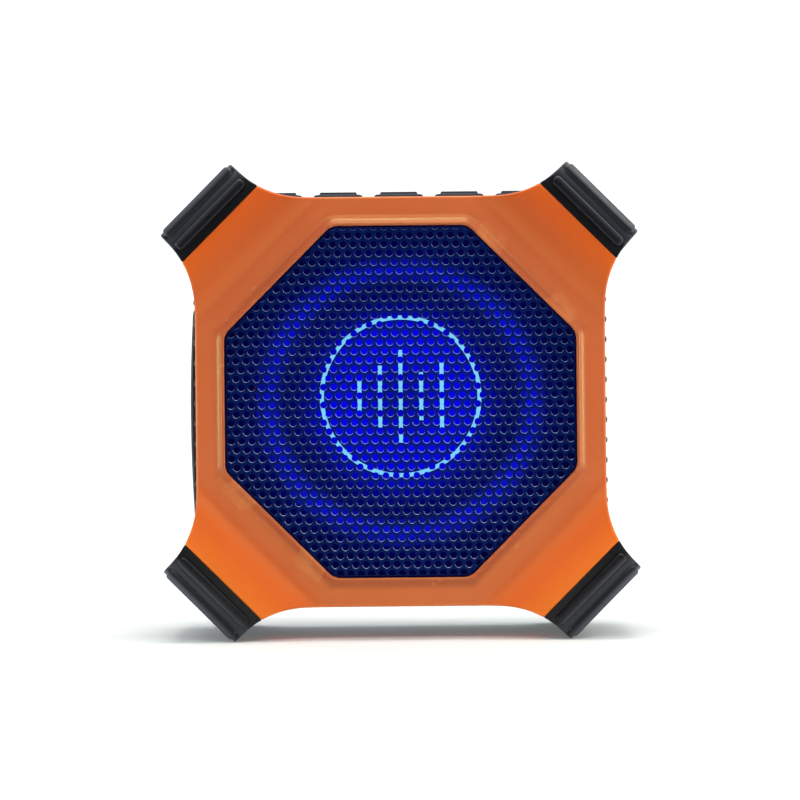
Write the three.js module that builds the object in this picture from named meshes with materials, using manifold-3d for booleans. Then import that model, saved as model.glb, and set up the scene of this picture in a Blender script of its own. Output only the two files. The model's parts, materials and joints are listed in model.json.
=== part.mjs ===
// Rugged portable loudspeaker: an octagonal grille in an X-shaped bezel, four ribbed corner bumpers,
// five buttons along the top, a port door on the left side, a lit driver in front and a passive
// radiator behind. Millimetres, +Z up, front towards -Y.
//
// Everything is drawn in the face frame, whose origin is the middle of the speaker: u to the right,
// v up and w forward, out of the front. The last part stands that frame upright, so that u is X,
// v is Z and w is -Y.
import * as THREE from "three";
import { mergeVertices } from "three/addons/utils/BufferGeometryUtils.js";
import Module from "manifold-3d";

const wasm = await Module();
wasm.setup();

// ---------- driving dimensions ----------

// Outline, seen from the front.
const OVERALL = 139.4; // across the corner bumpers, which are trimmed to small flats there
const SIDE = 60; // middle to a straight side
const ARM_HALF = 14.7; // half the width of a corner arm
const FILLET = 26; // hollow radius between a side and an arm
const ARM_END = 73.8; // middle to the end of an arm, along the diagonal
const BUMPER_END = 84.3; // middle to the outer face of a bumper, along the diagonal

// Levels through the depth, w forward.
const BAND = 24.3; // flat band of the bezel
const ARM_RISE = 4; // how far the arms sweep forward of the band
const CREASE = 59.4; // where an arm leaves the band, along the diagonal
const SKIRT = 12; // back edge of the bezel
const RIM = 11.7; // front rim of the housing
const BAFFLE_TOP = 15.3;
const REAR_FRAME = -25.5; // back of the housing's frame
const REAR_WALL = -20.5; // outer face of the wall that carries the radiator
const CAVITY_BACK = -18; // inner face of that wall
const BUMPER_HALF_DEPTH = 28.2;

const GAP = 0.3; // between pieces that touch
const WALL = 2.4;

// Octagon. Apothems are those of its upright and level sides.
const CUT_IN = 1; // how much nearer the middle its diagonal sides are
const OPENING = 51.4; // apothem of the bezel's opening
const LIP = 54.2; // apothem of the foot of the raised lip round it
const LIP_RISE = 2.1;
const GRILLE = 51; // apothem of the grille
const GRILLE_FACE = 25.8;
const SHEET = 1;
const BACK_OCTAGON = 50; // apothem of the recess in the back

// Bumper ribs.
const RIB_WIDTH = 3.2;
const RIB_RISE = 1.6;
const OUTER_RIB_RISE = 1.3;
const RIB_HALF = 13.6;
const FLAT_RIB = 77.6; // the rib across the front or back, along the diagonal
const EDGE_RIB_LEAN = 66; // degrees that the rib on a bumper's edge leans from outwards to forward

// Buttons.
const BUTTON_NAMES = ["power", "volume_down", "play", "volume_up", "light"];
const BUTTON_PITCH = 18.3;
const BUTTON_WIDTH = 15;
const END_BUTTON_WIDTH = 13.4; // the two outer ones are shorter, to clear the arms
const BUTTON_DEPTH = 14;
const BUTTON_W = -5.5; // middle of the row
const BUTTON_TOP = 63.4;
const BUTTON_TRAVEL = 0.8;
const STRIP_TOP = 60.4;
const STRIP_FLOOR = 57.9;

// Side grips and their studs.
const GRIP_HALF = 33.5;
const GRIP_FRONT = 11.2;
const GRIP_BACK = -13;
const LEFT_GRIP_BACK = 6.4; // the left one stops at the port door
const STUD_PITCH = 6;
const STUD_RADIUS = 1.15;
const STUD_TIP = 61.7;
const STUDS_HIGH = 11;

// Port door.
const DOOR_V = -3.4; // middle of the door
const DOOR_HALF = 31.9;
const DOOR_FRONT = 5.5;
const DOOR_BACK = -16.8;
const HINGE = new THREE.Vector2(-60.4, -18.6); // u and w of the hinge line
const RECESS_HALF = 26;
const RECESS_FRONT = 1;
const RECESS_BACK = -13;
const RECESS_FLOOR = -51.5;
const USB_V = DOOR_V + 9;
const AUX_V = DOOR_V - 9;
const SOCKET_W = (RECESS_FRONT + RECESS_BACK) / 2;

// Main board, upright behind the sockets.
const BOARD = -42.6;
const BOARD_THICK = 1.6;

// Fasteners.
const POST_S = 58; // housing posts, along the diagonal
const SCREW_END = 20; // front end of the screws that draw the housing to the bezel
const DRIVER_SCREW_R = 36.3;
const LIGHT_LEAD = [-43.6, 4]; // where the light's lead passes the baffle

const TURN = Math.PI * 2;
const QUARTERS = [0, 1, 2, 3];
const CORNER_NAMES = ["top_right", "top_left", "bottom_left", "bottom_right"];

// Middle and width of each button.
const BUTTONS = BUTTON_NAMES.map((name, i) => {
  const place = i - 2;
  const width = Math.abs(place) === 2 ? END_BUTTON_WIDTH : BUTTON_WIDTH;
  return { name, width, u: place * BUTTON_PITCH - (Math.sign(place) * (BUTTON_WIDTH - width)) / 2 };
});

// ---------- materials ----------

const finish = (color, roughness, metalness = 0) =>
  new THREE.MeshStandardMaterial({ color, roughness, metalness });

const MATERIAL = {
  orange: finish(0xd9662a, 0.5),
  rubber: finish(0x1c1e21, 0.85),
  plastic: finish(0x17181b, 0.6),
  grille: finish(0x14163c, 0.45, 0.6),
  diffuser: finish(0x2a3cff, 0.35),
  cone: finish(0x20264a, 0.7),
  board: finish(0x0f3d2a, 0.5),
  chip: finish(0x16171a, 0.5),
  steel: finish(0xb9bcc0, 0.35, 1),
  ferrite: finish(0x2b2b2d, 0.8),
  copper: finish(0xb06a3a, 0.4, 1),
  wrap: finish(0x1f5fa8, 0.4),
  seal: finish(0x2c2e31, 0.9),
  lead: finish(0xa01c1c, 0.6),
};

// ---------- solids ----------

// A closed three.js geometry as a solid, facing outwards whichever way its profile ran.
function solidOf(geometry) {
  const bare = geometry.clone();
  bare.deleteAttribute("normal");
  bare.deleteAttribute("uv");
  const merged = mergeVertices(bare, 1e-4);
  const corners = [];
  for (let i = 0; i < merged.index.count; i += 3) {
    const [a, b, c] = [0, 1, 2].map((k) => merged.index.getX(i + k));
    if (a !== b && b !== c && c !== a) corners.push([a, b, c]);
  }
  const build = (faces) =>
    new wasm.Manifold(
      new wasm.Mesh({
        numProp: 3,
        vertProperties: merged.attributes.position.array,
        triVerts: new Uint32Array(faces.flat()),
      }),
    );
  const made = build(corners);
  return made.volume() > 0 ? made : build(corners.map(([a, b, c]) => [a, c, b]));
}

function geometryOf(solid) {
  const { numProp, vertProperties, triVerts } = solid.getMesh();
  const positions = new Float32Array((vertProperties.length / numProp) * 3);
  for (let i = 0; i < positions.length / 3; i++)
    positions.set(vertProperties.subarray(i * numProp, i * numProp + 3), i * 3);
  return new THREE.BufferGeometry()
    .setAttribute("position", new THREE.BufferAttribute(positions, 3))
    .setIndex(new THREE.BufferAttribute(triVerts, 1));
}

const join = (solids) => solids.reduce((a, b) => a.add(b));
const cut = (solid, tools) => tools.reduce((a, b) => a.subtract(b), solid);

const at = (u, v) => new THREE.Vector2(u, v);

function arc(centre, radius, from, to, segments) {
  return Array.from({ length: segments + 1 }, (_, i) => {
    const angle = from + ((to - from) * i) / segments;
    return at(centre.x + radius * Math.cos(angle), centre.y + radius * Math.sin(angle));
  });
}

function prismGeometry(outline, low, high, holes = []) {
  const shape = new THREE.Shape(outline);
  shape.holes = holes.map((hole) => new THREE.Path(hole));
  return new THREE.ExtrudeGeometry(shape, { depth: high - low, bevelEnabled: false }).translate(0, 0, low);
}

const prism = (...args) => solidOf(prismGeometry(...args));

function boxGeometry(u, v, w) {
  return new THREE.BoxGeometry(u[1] - u[0], v[1] - v[0], w[1] - w[0]).translate(
    (u[0] + u[1]) / 2,
    (v[0] + v[1]) / 2,
    (w[0] + w[1]) / 2,
  );
}

const box = (...args) => solidOf(boxGeometry(...args));

// Turned about the w axis from [radius, w] pairs. A profile that leaves the axis out is closed on itself.
function turned(profile, segments = 32) {
  const points = profile.map(([radius, w]) => at(radius, w));
  if (points[0].x > 0) points.push(points[0].clone());
  return solidOf(new THREE.LatheGeometry(points, segments).rotateX(Math.PI / 2));
}

function ring(inner, outer, low, high, segments = 32) {
  return turned([[inner, low], [outer, low], [outer, high], [inner, high]], segments);
}

function disc(radius, low, high, segments = 16) {
  return turned([[0, low], [radius, low], [radius, high], [0, high]], segments);
}

// A cylinder along one axis of the face frame, from low to high, through a point of the other two.
function rod(axis, radius, low, high, [a, b], segments = 10) {
  const geometry = new THREE.CylinderGeometry(radius, radius, high - low, segments);
  const middle = (low + high) / 2;
  if (axis === "v") geometry.translate(a, middle, b);
  if (axis === "u") geometry.rotateZ(Math.PI / 2).translate(middle, a, b);
  if (axis === "w") geometry.rotateX(Math.PI / 2).translate(a, b, middle);
  return solidOf(geometry);
}

const circle = (radius, segments, centre = at(0, 0)) => arc(centre, radius, 0, TURN, segments).slice(0, -1);

// ---------- outlines ----------

// The square with four arms, inset evenly. The arms run past every piece, and diamond() ends them.
function starOutline(inset, segments = 6) {
  const side = SIDE - inset;
  const arm = ARM_HALF - inset;
  const radius = FILLET + inset;
  const meets = side - arm * Math.SQRT2;
  const centre = at(side + radius, meets - radius * Math.tan(Math.PI / 8));
  const hollow = arc(centre, radius, Math.PI, (Math.PI * 3) / 4, segments);
  const reach = OVERALL * Math.SQRT1_2;
  const tip = at((reach + arm) * Math.SQRT1_2, (reach - arm) * Math.SQRT1_2);
  const half = [...hollow, tip];
  const quarter = [...half, ...half.map((p) => at(p.y, p.x)).reverse()];
  return QUARTERS.flatMap((k) => quarter.map((p) => p.clone().rotateAround(at(0, 0), (k * TURN) / 4)));
}

// A prism with four sides across the diagonals, each at a distance from the middle.
function diamond(distance, low, high) {
  const corner = distance * Math.SQRT2;
  return prism([at(corner, 0), at(0, corner), at(-corner, 0), at(0, -corner)], low, high);
}

// The body of an inset star, with its arms ended.
const star = (inset, end, low, high) =>
  prism(starOutline(inset), low, high).intersect(diamond(end, low, high));

// An octagon with a flat at the top, its corners rounded and its diagonal sides a little nearer.
function octagon(apothem, rounding = 5, segments = 2) {
  const side = apothem - rounding;
  const centre = at(side, (side - CUT_IN) * Math.SQRT2 - side);
  const corner = arc(centre, rounding, 0, TURN / 8, segments);
  const quarter = [...corner, ...corner.map((p) => at(p.y, p.x)).reverse()];
  return QUARTERS.flatMap((k) => quarter.map((p) => p.clone().rotateAround(at(0, 0), (k * TURN) / 4)));
}

// An octagonal frustum between two levels.
function frustum(lowApothem, highApothem, low, high, rounding) {
  const geometry = prismGeometry(octagon(lowApothem, rounding), low, high);
  const position = geometry.attributes.position;
  const scale = highApothem / lowApothem;
  for (let i = 0; i < position.count; i++) {
    if (Math.abs(position.getZ(i) - high) < 1e-3)
      position.setXY(i, position.getX(i) * scale, position.getY(i) * scale);
  }
  return solidOf(geometry);
}

// A profile of s, outwards along the first diagonal, and w, swept sideways across that diagonal.
function acrossGeometry(profile, half) {
  const outwards = new THREE.Vector3(Math.SQRT1_2, Math.SQRT1_2, 0);
  const forward = new THREE.Vector3(0, 0, 1);
  const sideways = new THREE.Vector3(Math.SQRT1_2, -Math.SQRT1_2, 0);
  return prismGeometry(profile, -half, half).applyMatrix4(
    new THREE.Matrix4().makeBasis(outwards, forward, sideways),
  );
}

// The same on all four diagonals.
const acrossAll = (profile, half) =>
  join(QUARTERS.map((k) => solidOf(acrossGeometry(profile, half).rotateZ((k * TURN) / 4))));

// A point on a diagonal: 0 is the top right one.
const onDiagonal = (k, s) => at(s, 0).rotateAround(at(0, 0), TURN / 8 + (k * TURN) / 4);

// ---------- casing ----------

// The arms leave the band at the crease and sweep forward on an arc that lies flat at their ends.
function armSweep(inset) {
  const run = ARM_END - CREASE;
  const lean = 2 * Math.atan(ARM_RISE / run);
  const radius = run / Math.sin(lean);
  const top = BAND + ARM_RISE;
  const curve = arc(at(ARM_END, top - radius), radius - inset, Math.PI / 2 + lean, Math.PI / 2, 6);
  const beyond = ARM_END + 1;
  return [at(curve[0].x, SKIRT - 1), ...curve, at(beyond, top - inset), at(beyond, SKIRT - 1)].reverse();
}

function bezel() {
  const low = SKIRT;
  const high = BAND + ARM_RISE + 1;
  const relief = join([
    prism([at(-80, -80), at(80, -80), at(80, 80), at(-80, 80)], low, BAND),
    acrossAll(armSweep(0), 40),
  ]);
  const lip = frustum(LIP, OPENING + 0.9, BAND, BAND + LIP_RISE, 7);
  const shell = star(0, ARM_END, low, high).intersect(relief).add(lip);
  const cavity = star(WALL, ARM_END - WALL, low - 1, BAND - WALL);
  const armCavity = acrossAll(armSweep(WALL), ARM_HALF - WALL - 1).intersect(
    star(WALL, ARM_END - WALL, low - 1, high),
  );
  const opening = prism(octagon(OPENING), low - 1, high);
  const places = QUARTERS.map((k) => onDiagonal(k, POST_S).toArray());
  const bosses = places.map((place) => rod("w", 3.4, BAFFLE_TOP + GAP, BAND - 1, place));
  const pilots = places.map((place) => rod("w", 1.7, low, SCREW_END + 0.6, place));
  return cut(join([cut(shell, [cavity, armCavity, opening]), ...bosses]), pilots);
}

function grille() {
  const pan = prism(octagon(GRILLE), BAND - 2.8, GRILLE_FACE);
  return pan.subtract(prism(octagon(GRILLE - SHEET, 4), BAND - 3.8, GRILLE_FACE - SHEET));
}

function baffle() {
  const plate = star(WALL + 0.6, ARM_END - WALL - 0.9, RIM + GAP, BAFFLE_TOP);
  const ledge = prism(octagon(GRILLE - 0.4), BAFFLE_TOP, BAND - 3.1, [octagon(GRILLE - 3.4)]);
  const hole = disc(33.9, SKIRT - 1, BAFFLE_TOP + 1, 28);
  const leadHole = rod("w", 1.5, SKIRT - 1, BAFFLE_TOP + 1, LIGHT_LEAD);
  const pilots = QUARTERS.flatMap((k) => [
    rod("w", 1.8, RIM, BAFFLE_TOP + 1, onDiagonal(k, POST_S).toArray()),
    rod("w", 1.1, RIM, BAFFLE_TOP + 1, onDiagonal(k + 0.5, DRIVER_SCREW_R).toArray()),
  ]);
  return cut(plate.add(ledge), [hole, leadHole, ...pilots]);
}

function housing() {
  const inset = GAP;
  const shell = star(inset, ARM_END - GAP, REAR_FRAME, RIM);
  const tongues = acrossAll(
    [at(ARM_END - 4, -20), at(80, -20), at(80, RIM), at(ARM_END - 4, RIM)],
    ARM_HALF - 3.9,
  );
  const cavity = star(inset + 3, ARM_END - 3, CAVITY_BACK, 9);
  const mouth = star(inset + 7.6, ARM_END - 8, 8, RIM + 1);
  const groove = star(inset + 3.8, ARM_END - 4.2, RIM - 1.1, RIM + 1).subtract(
    star(inset + 6.2, ARM_END - 6.6, RIM - 2, RIM + 2),
  );
  const rearRecess = prism(octagon(BACK_OCTAGON), REAR_FRAME - 1, REAR_WALL);
  const rearCore = star(inset + 3, ARM_END - 3, REAR_FRAME + WALL, CAVITY_BACK + 1).subtract(
    prism(octagon(BACK_OCTAGON + WALL), REAR_FRAME, CAVITY_BACK + 2),
  );
  const radiatorHole = disc(33, REAR_WALL - 1, CAVITY_BACK + 1, 28);
  const posts = QUARTERS.map((k) => rod("w", 4.2, REAR_FRAME + 1, RIM, onDiagonal(k, POST_S).toArray()));
  const bores = QUARTERS.flatMap((k) => [
    rod("w", 1.8, REAR_FRAME - 1, RIM + 1, onDiagonal(k, POST_S).toArray(), 8),
    rod("w", 3.1, REAR_FRAME - 1, REAR_FRAME + 4.2, onDiagonal(k, POST_S).toArray()),
  ]);

  const tub = cut(shell.add(tongues), [cavity, mouth, rearRecess, rearCore, radiatorHole]);
  const fitted = join([tub, ...posts, portPocket(), ...hingeEars(), ...boardPosts()]);
  return cut(fitted, [groove, ...bores, ...portCuts(), ...topCuts(), ...gripCuts()]);
}

// The walls of the recess behind the port door.
function portPocket() {
  const wall = 2;
  return box(
    [RECESS_FLOOR, -SIDE + 1],
    [DOOR_V - RECESS_HALF - wall, DOOR_V + RECESS_HALF + wall],
    [RECESS_BACK - wall, RECESS_FRONT + wall],
  ).add(
    box(
      [RECESS_FLOOR, RECESS_FLOOR + wall],
      [DOOR_V - RECESS_HALF - wall, DOOR_V + RECESS_HALF + wall],
      [RECESS_BACK - wall, RECESS_FRONT + wall],
    ),
  );
}

// Two ears, proud of the side, that hold the hinge pin beyond the ends of the door.
function hingeEars() {
  return [-1, 1].map((end) => {
    const inner = DOOR_V + end * (DOOR_HALF + GAP);
    const outer = inner + end * 3;
    const span = [Math.min(inner, outer), Math.max(inner, outer)];
    return rod("v", 1.9, ...span, HINGE.toArray(), 12).add(
      box([HINGE.x, -SIDE + 3], span, [HINGE.y - 1.9, HINGE.y + 1.9]),
    );
  });
}

function portCuts() {
  const recess = box(
    [-SIDE - 5, RECESS_FLOOR],
    [DOOR_V - RECESS_HALF, DOOR_V + RECESS_HALF],
    [RECESS_BACK, RECESS_FRONT],
  );
  const rebate = box(
    [-SIDE - 5, -58],
    [DOOR_V - DOOR_HALF - GAP, DOOR_V + DOOR_HALF + GAP],
    [HINGE.y - 2.2, DOOR_FRONT + GAP],
  );
  const pin = rod("v", 0.95, DOOR_V - DOOR_HALF - 2.6, DOOR_V + DOOR_HALF + 2.6, HINGE.toArray());
  const sockets = [
    box([RECESS_FLOOR - 1, RECESS_FLOOR + 3], [USB_V - 4.9, USB_V + 4.9], [SOCKET_W - 2.1, SOCKET_W + 2.1]),
    rod("u", 3.4, RECESS_FLOOR - 1, RECESS_FLOOR + 3, [AUX_V, SOCKET_W]),
  ];
  return [recess, rebate, pin, ...sockets];
}

// A trough for the button strip, and a hole below each button for its plunger.
function topCuts() {
  const trough = box([-44.2, 44.2], [STRIP_FLOOR, 90], [BUTTON_W - 9, BUTTON_W + 9]);
  const holes = BUTTONS.map(({ u }) => rod("v", 2.7, STRIP_FLOOR - 5, STRIP_FLOOR + 1, [u, BUTTON_W]));
  return [trough, ...holes];
}

function gripCuts() {
  const depth = [SIDE - GAP - 1.3, SIDE + 9];
  const high = [-GRIP_HALF - GAP, GRIP_HALF + GAP];
  return [
    box(depth, high, [GRIP_BACK - GAP, GRIP_FRONT + GAP]),
    box([-depth[1], -depth[0]], high, [LEFT_GRIP_BACK - GAP, GRIP_FRONT + GAP]),
  ];
}

const boardPosts = () => [-27.5, 27.5].map((u) => rod("v", 1.8, 52.4, STRIP_FLOOR - 0.5, [u, BUTTON_W], 8));

// A raised rib with round ends, drawn on the first diagonal and leaning from outwards towards forward.
function rib(s, w, lean, height) {
  const end = RIB_WIDTH / 2;
  const straight = RIB_HALF - end;
  const stadium = [
    ...arc(at(straight, 0), end, -Math.PI / 2, Math.PI / 2, 4),
    ...arc(at(-straight, 0), end, Math.PI / 2, (Math.PI * 3) / 2, 4),
  ];
  const sideways = new THREE.Vector3(Math.SQRT1_2, -Math.SQRT1_2, 0);
  const outwards = new THREE.Vector3(Math.SQRT1_2, Math.SQRT1_2, 0);
  const up = outwards.clone().multiplyScalar(Math.cos(lean)).add(new THREE.Vector3(0, 0, Math.sin(lean)));
  const along = new THREE.Vector3().crossVectors(up, sideways);
  const foot = outwards.multiplyScalar(s).add(new THREE.Vector3(0, 0, w));
  const place = new THREE.Matrix4().makeBasis(sideways, along, up).setPosition(foot);
  return solidOf(prismGeometry(stadium, -1.5, height).applyMatrix4(place));
}

// A rubber cap over the end of an arm, with ribs across its front, its edges, its outer face and its back.
function bumper() {
  const start = ARM_END + GAP;
  const round = 3;
  const deep = BUMPER_HALF_DEPTH;
  const corner = at(BUMPER_END - round, deep - round);
  const profile = [
    at(start, -deep),
    ...arc(at(corner.x, -corner.y), round, -Math.PI / 2, 0, 3),
    ...arc(corner, round, 0, Math.PI / 2, 3),
    at(start, deep),
  ];
  const block = solidOf(acrossGeometry(profile, 25)).intersect(
    prism(starOutline(0), -deep - 1, deep + 1),
  );
  const edgeLean = (EDGE_RIB_LEAN / 360) * TURN;
  const ribs = [1, -1].flatMap((side) => [
    rib(FLAT_RIB, side * deep, (side * TURN) / 4, RIB_RISE),
    rib(corner.x, side * corner.y, side * edgeLean, round + RIB_RISE - 0.3),
    rib(BUMPER_END, side * 16, 0, OUTER_RIB_RISE),
    rib(BUMPER_END, side * 8, 0, OUTER_RIB_RISE),
  ]);
  const ribbed = join([block, ...ribs, rib(BUMPER_END, 0, 0, OUTER_RIB_RISE)]);
  const pocket = solidOf(
    acrossGeometry(
      [at(start - 1, -20 - GAP), at(80 + GAP, -20 - GAP), at(80 + GAP, RIM + GAP), at(start - 1, RIM + GAP)],
      ARM_HALF - 3.9 + GAP,
    ),
  );
  const trim = box([0, OVERALL / 2], [0, OVERALL / 2], [-40, 40]);
  return ribbed.subtract(pocket).intersect(trim);
}

function grip(side, back, rows) {
  const face = [SIDE - GAP - 1, SIDE + 0.2];
  const u = side > 0 ? face : [-face[1], -face[0]];
  const plate = box(u, [-GRIP_HALF, GRIP_HALF], [back, GRIP_FRONT]);
  const studs = [];
  for (let row = 0; row < rows; row++) {
    for (let i = 0; i < STUDS_HIGH; i++) {
      const v = (i - (STUDS_HIGH - 1) / 2) * STUD_PITCH;
      const w = GRIP_FRONT - 2.6 - row * STUD_PITCH;
      const stud = new THREE.CylinderGeometry(STUD_RADIUS * 0.55, STUD_RADIUS, STUD_TIP - SIDE + 0.2, 5);
      stud.rotateZ((-side * Math.PI) / 2).translate((side * (STUD_TIP + SIDE - 0.2)) / 2, v, w);
      studs.push(solidOf(stud));
    }
  }
  return join([plate, ...studs]);
}

function rearGuard() {
  const apothem = BACK_OCTAGON - GAP;
  const plate = prism(octagon(apothem), REAR_FRAME + 0.2, REAR_FRAME + 2);
  const legs = prism(octagon(apothem), REAR_FRAME + 1.5, REAR_WALL - GAP, [octagon(apothem - 2, 4)]);
  const slots = [];
  for (let i = -4; i <= 4; i++) {
    const v = i * 7;
    const half = Math.sqrt(36 ** 2 - v ** 2);
    slots.push(box([-half, half], [v - 1.6, v + 1.6], [REAR_FRAME - 1, REAR_WALL]));
  }
  return cut(plate.add(legs), slots);
}

// ---------- top buttons ----------

function buttonStrip() {
  const strip = box([-43.9, 43.9], [STRIP_FLOOR + GAP, STRIP_TOP], [BUTTON_W - 8.7, BUTTON_W + 8.7]);
  return cut(
    strip,
    BUTTONS.map(({ u, width }) =>
      box(
        [u - width / 2 - GAP, u + width / 2 + GAP],
        [STRIP_FLOOR - 1, STRIP_TOP + 1],
        [BUTTON_W - BUTTON_DEPTH / 2 - GAP, BUTTON_W + BUTTON_DEPTH / 2 + GAP],
      ),
    ),
  );
}

// A button in two tiers with chamfered shoulders, over a plunger. Its own origin is on the strip's floor.
function button(width) {
  const top = BUTTON_TOP - STRIP_FLOOR;
  const shoulder = top - 0.8;
  const foot = BUTTON_TRAVEL + 0.5;
  const tier = (half, deep, low, high, chamfer) => {
    const shelf = half - chamfer * 0.8;
    const slope = high - chamfer;
    return prism(
      [at(-half, low), at(half, low), at(half, slope), at(shelf, high), at(-shelf, high), at(-half, slope)],
      -deep,
      deep,
    );
  };
  return join([
    tier(width / 2, BUTTON_DEPTH / 2, foot, shoulder, 1.1),
    tier(width / 2 - 1.9, BUTTON_DEPTH / 2 - 1.8, shoulder - 0.5, top, 0.5),
    rod("v", 2.1, -1, foot + 0.5, [0, 0], 10),
  ]);
}

function buttonBoard() {
  const board = box([-42, 42], [50.5, 52.1], [BUTTON_W - 7, BUTTON_W + 7]);
  const switches = BUTTONS.flatMap(({ u }) => [
    box([u - 3, u + 3], [52, 54.8], [BUTTON_W - 3, BUTTON_W + 3]),
    rod("v", 1.6, 54.7, 55.9, [u, BUTTON_W], 8),
  ]);
  return join([board, ...switches]);
}

// ---------- port door ----------

// A crowned cover, thickest at its middle, with a plug that fills the mouth of the recess and a
// knuckle along its back edge.
function door() {
  const crown = 62.8;
  const ends = 62;
  const inner = 58.3;
  const rise = crown - ends;
  const radius = (DOOR_HALF ** 2 + rise ** 2) / (2 * rise);
  const spread = Math.asin((DOOR_HALF - 1) / radius);
  const outline = [
    at(-inner, -DOOR_HALF),
    at(-inner, DOOR_HALF),
    at(-ends + 1.2, DOOR_HALF),
    ...arc(at(radius - crown, 0), radius, Math.PI - spread, Math.PI + spread, 10),
    at(-ends + 1.2, -DOOR_HALF),
  ];
  const cover = prism(outline, DOOR_BACK, DOOR_FRONT);
  const knuckle = rod("v", 1.7, -DOOR_HALF, DOOR_HALF, HINGE.toArray(), 12);
  const web = box([-inner - 2.6, -inner], [-DOOR_HALF, DOOR_HALF], [HINGE.y, DOOR_BACK + 0.5]);
  const plug = box(
    [-inner - 0.5, -56.4],
    [-RECESS_HALF + 0.8, RECESS_HALF - 0.8],
    [RECESS_BACK + 0.8, RECESS_FRONT - 0.8],
  );
  const hollow = box(
    [-57.4, -56],
    [-RECESS_HALF + 2.8, RECESS_HALF - 2.8],
    [RECESS_BACK + 2.8, RECESS_FRONT - 2.8],
  );
  const bore = rod("v", 0.95, -DOOR_HALF - 1, DOOR_HALF + 1, HINGE.toArray());
  return cut(join([cover, knuckle, web, plug]), [hollow, bore]);
}

// A rubber ring carried inside the plug's rim.
function doorSeal() {
  const outer = [RECESS_HALF - 3.1, RECESS_BACK + 3.1, RECESS_FRONT - 3.1];
  const [half, back, front] = outer;
  return box([-57.1, -55.8], [-half, half], [back, front]).subtract(
    box([-58, -55], [-half + 1.6, half - 1.6], [back + 1.6, front - 1.6]),
  );
}

const usbSocket = () =>
  box([RECESS_FLOOR + 0.2, BOARD - GAP], [USB_V - 4.5, USB_V + 4.5], [SOCKET_W - 1.7, SOCKET_W + 1.7]).subtract(
    box([RECESS_FLOOR - 1, BOARD - 1.6], [USB_V - 4.1, USB_V + 4.1], [SOCKET_W - 1.3, SOCKET_W + 1.3]),
  );

const auxSocket = () =>
  cut(
    rod("u", 3.1, RECESS_FLOOR + 0.2, BOARD - 6, [AUX_V, SOCKET_W]).add(
      box([RECESS_FLOOR + 2.3, BOARD - GAP], [AUX_V - 3.4, AUX_V + 3.4], [SOCKET_W - 3.4, SOCKET_W + 3.4]),
    ),
    [rod("u", 1.8, RECESS_FLOOR - 1, BOARD - 1.6, [AUX_V, SOCKET_W])],
  );

// ---------- electronics ----------

function mainBoard() {
  const inner = BOARD + BOARD_THICK;
  const board = box([BOARD, inner], [-34, 28], [-15, 7]);
  const parts = [
    box([inner - 0.2, inner + 4.5], [20, 26], [-10, -4]),
    box([inner - 0.2, inner + 3], [-29, -24], [-12, -2]),
    rod("u", 2.6, inner - 0.2, inner + 6, [-18, 3], 10),
    rod("u", 2.6, inner - 0.2, inner + 6, [-18, -4], 10),
  ];
  return join([board, ...parts]);
}

const chip = (thick, v, w) => box([BOARD + BOARD_THICK + GAP, BOARD + BOARD_THICK + GAP + thick], v, w);

const wirelessModule = () => chip(2.4, [-2, 14], [-12, 1]);

const amplifierChip = () => chip(1.5, [-13.5, -5.5], [-9, -1]);

// A cell along v with its raised positive end.
function cell() {
  const [radius, half] = [9.2, 32.5];
  return rod("v", radius, -half, half - 1, [0, 0], 16).add(rod("v", 3, half - 1.5, half, [0, 0]));
}

// A saddle under a cell, against the casing's wall, with a stop at each end.
function saddle() {
  const cradle = box([4, 10.4], [-34.5, 34.5], [-8, 8]);
  const stops = [-1, 1].map((end) =>
    box([-6, 10.4], [end * 34 - 0.9, end * 34 + 0.9], [-8, 8]),
  );
  return join([cradle, ...stops]).subtract(rod("v", 9.6, -33, 33, [0, 0], 16));
}

// A round lead along a route of [u, v, w] points.
function lead(route, radius, steps) {
  const points = route.map((p) => new THREE.Vector3(...p));
  const curve = new THREE.CatmullRomCurve3(points, false, "catmullrom", 0.4);
  const section = new THREE.Shape(circle(radius, 6));
  return solidOf(new THREE.ExtrudeGeometry(section, { steps, extrudePath: curve, bevelEnabled: false }));
}

const driverLead = () =>
  lead([[-25.6, -9, 1], [-28, -9.6, 0.4], [-32, -11.6, -2], [-36, -12.6, -4.6], [-39.1, -12.5, -5]], 0.9, 12);

const batteryLead = () =>
  lead(
    [[50, -36, -4], [51, -44, -5], [43, -50, -6], [24, -48, -8], [0, -46.5, -9],
      [-24, -48, -8], [-43, -50, -6], [-50.4, -44, -5], [-48.6, -38, -4], [-41.8, -35.2, -4]],
    1.1,
    26,
  );

const buttonLead = () =>
  lead([[-41.8, 29.2, -4], [-47, 33, -4], [-50, 41, -4], [-46, 48, -4.4], [-38, 49.1, -5]], 1, 16);

const lightLead = () =>
  lead(
    [[-40.6, 4, 17.2], [-42.9, 4, 16.7], [...LIGHT_LEAD, 14], [...LIGHT_LEAD, 11], [-41.8, 4, 7.9]],
    0.6,
    12,
  );

// ---------- driver and light ----------

function basket() {
  const shell = turned([
    [39, 16.3],
    [39, 17.6],
    [33, 17.6],
    [31.2, 15.6],
    [23.2, 1.2],
    [13, 1.2],
    [13, -0.2],
    [24.4, -0.2],
    [33, 15.2],
    [33.4, 16.3],
  ], 24);
  const windows = QUARTERS.map((k) =>
    solidOf(boxGeometry([22, 36], [-9, 9], [2.4, 12.6]).rotateZ((k * TURN) / 4 + TURN / 8)),
  );
  const holes = QUARTERS.flatMap((k) => {
    const centre = onDiagonal(k + 0.5, DRIVER_SCREW_R).toArray();
    return [rod("w", 1.5, 15, 19, centre, 8), rod("w", 2.4, 16.6, 19, centre)];
  });
  return cut(shell, [...windows, ...holes]);
}

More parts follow.
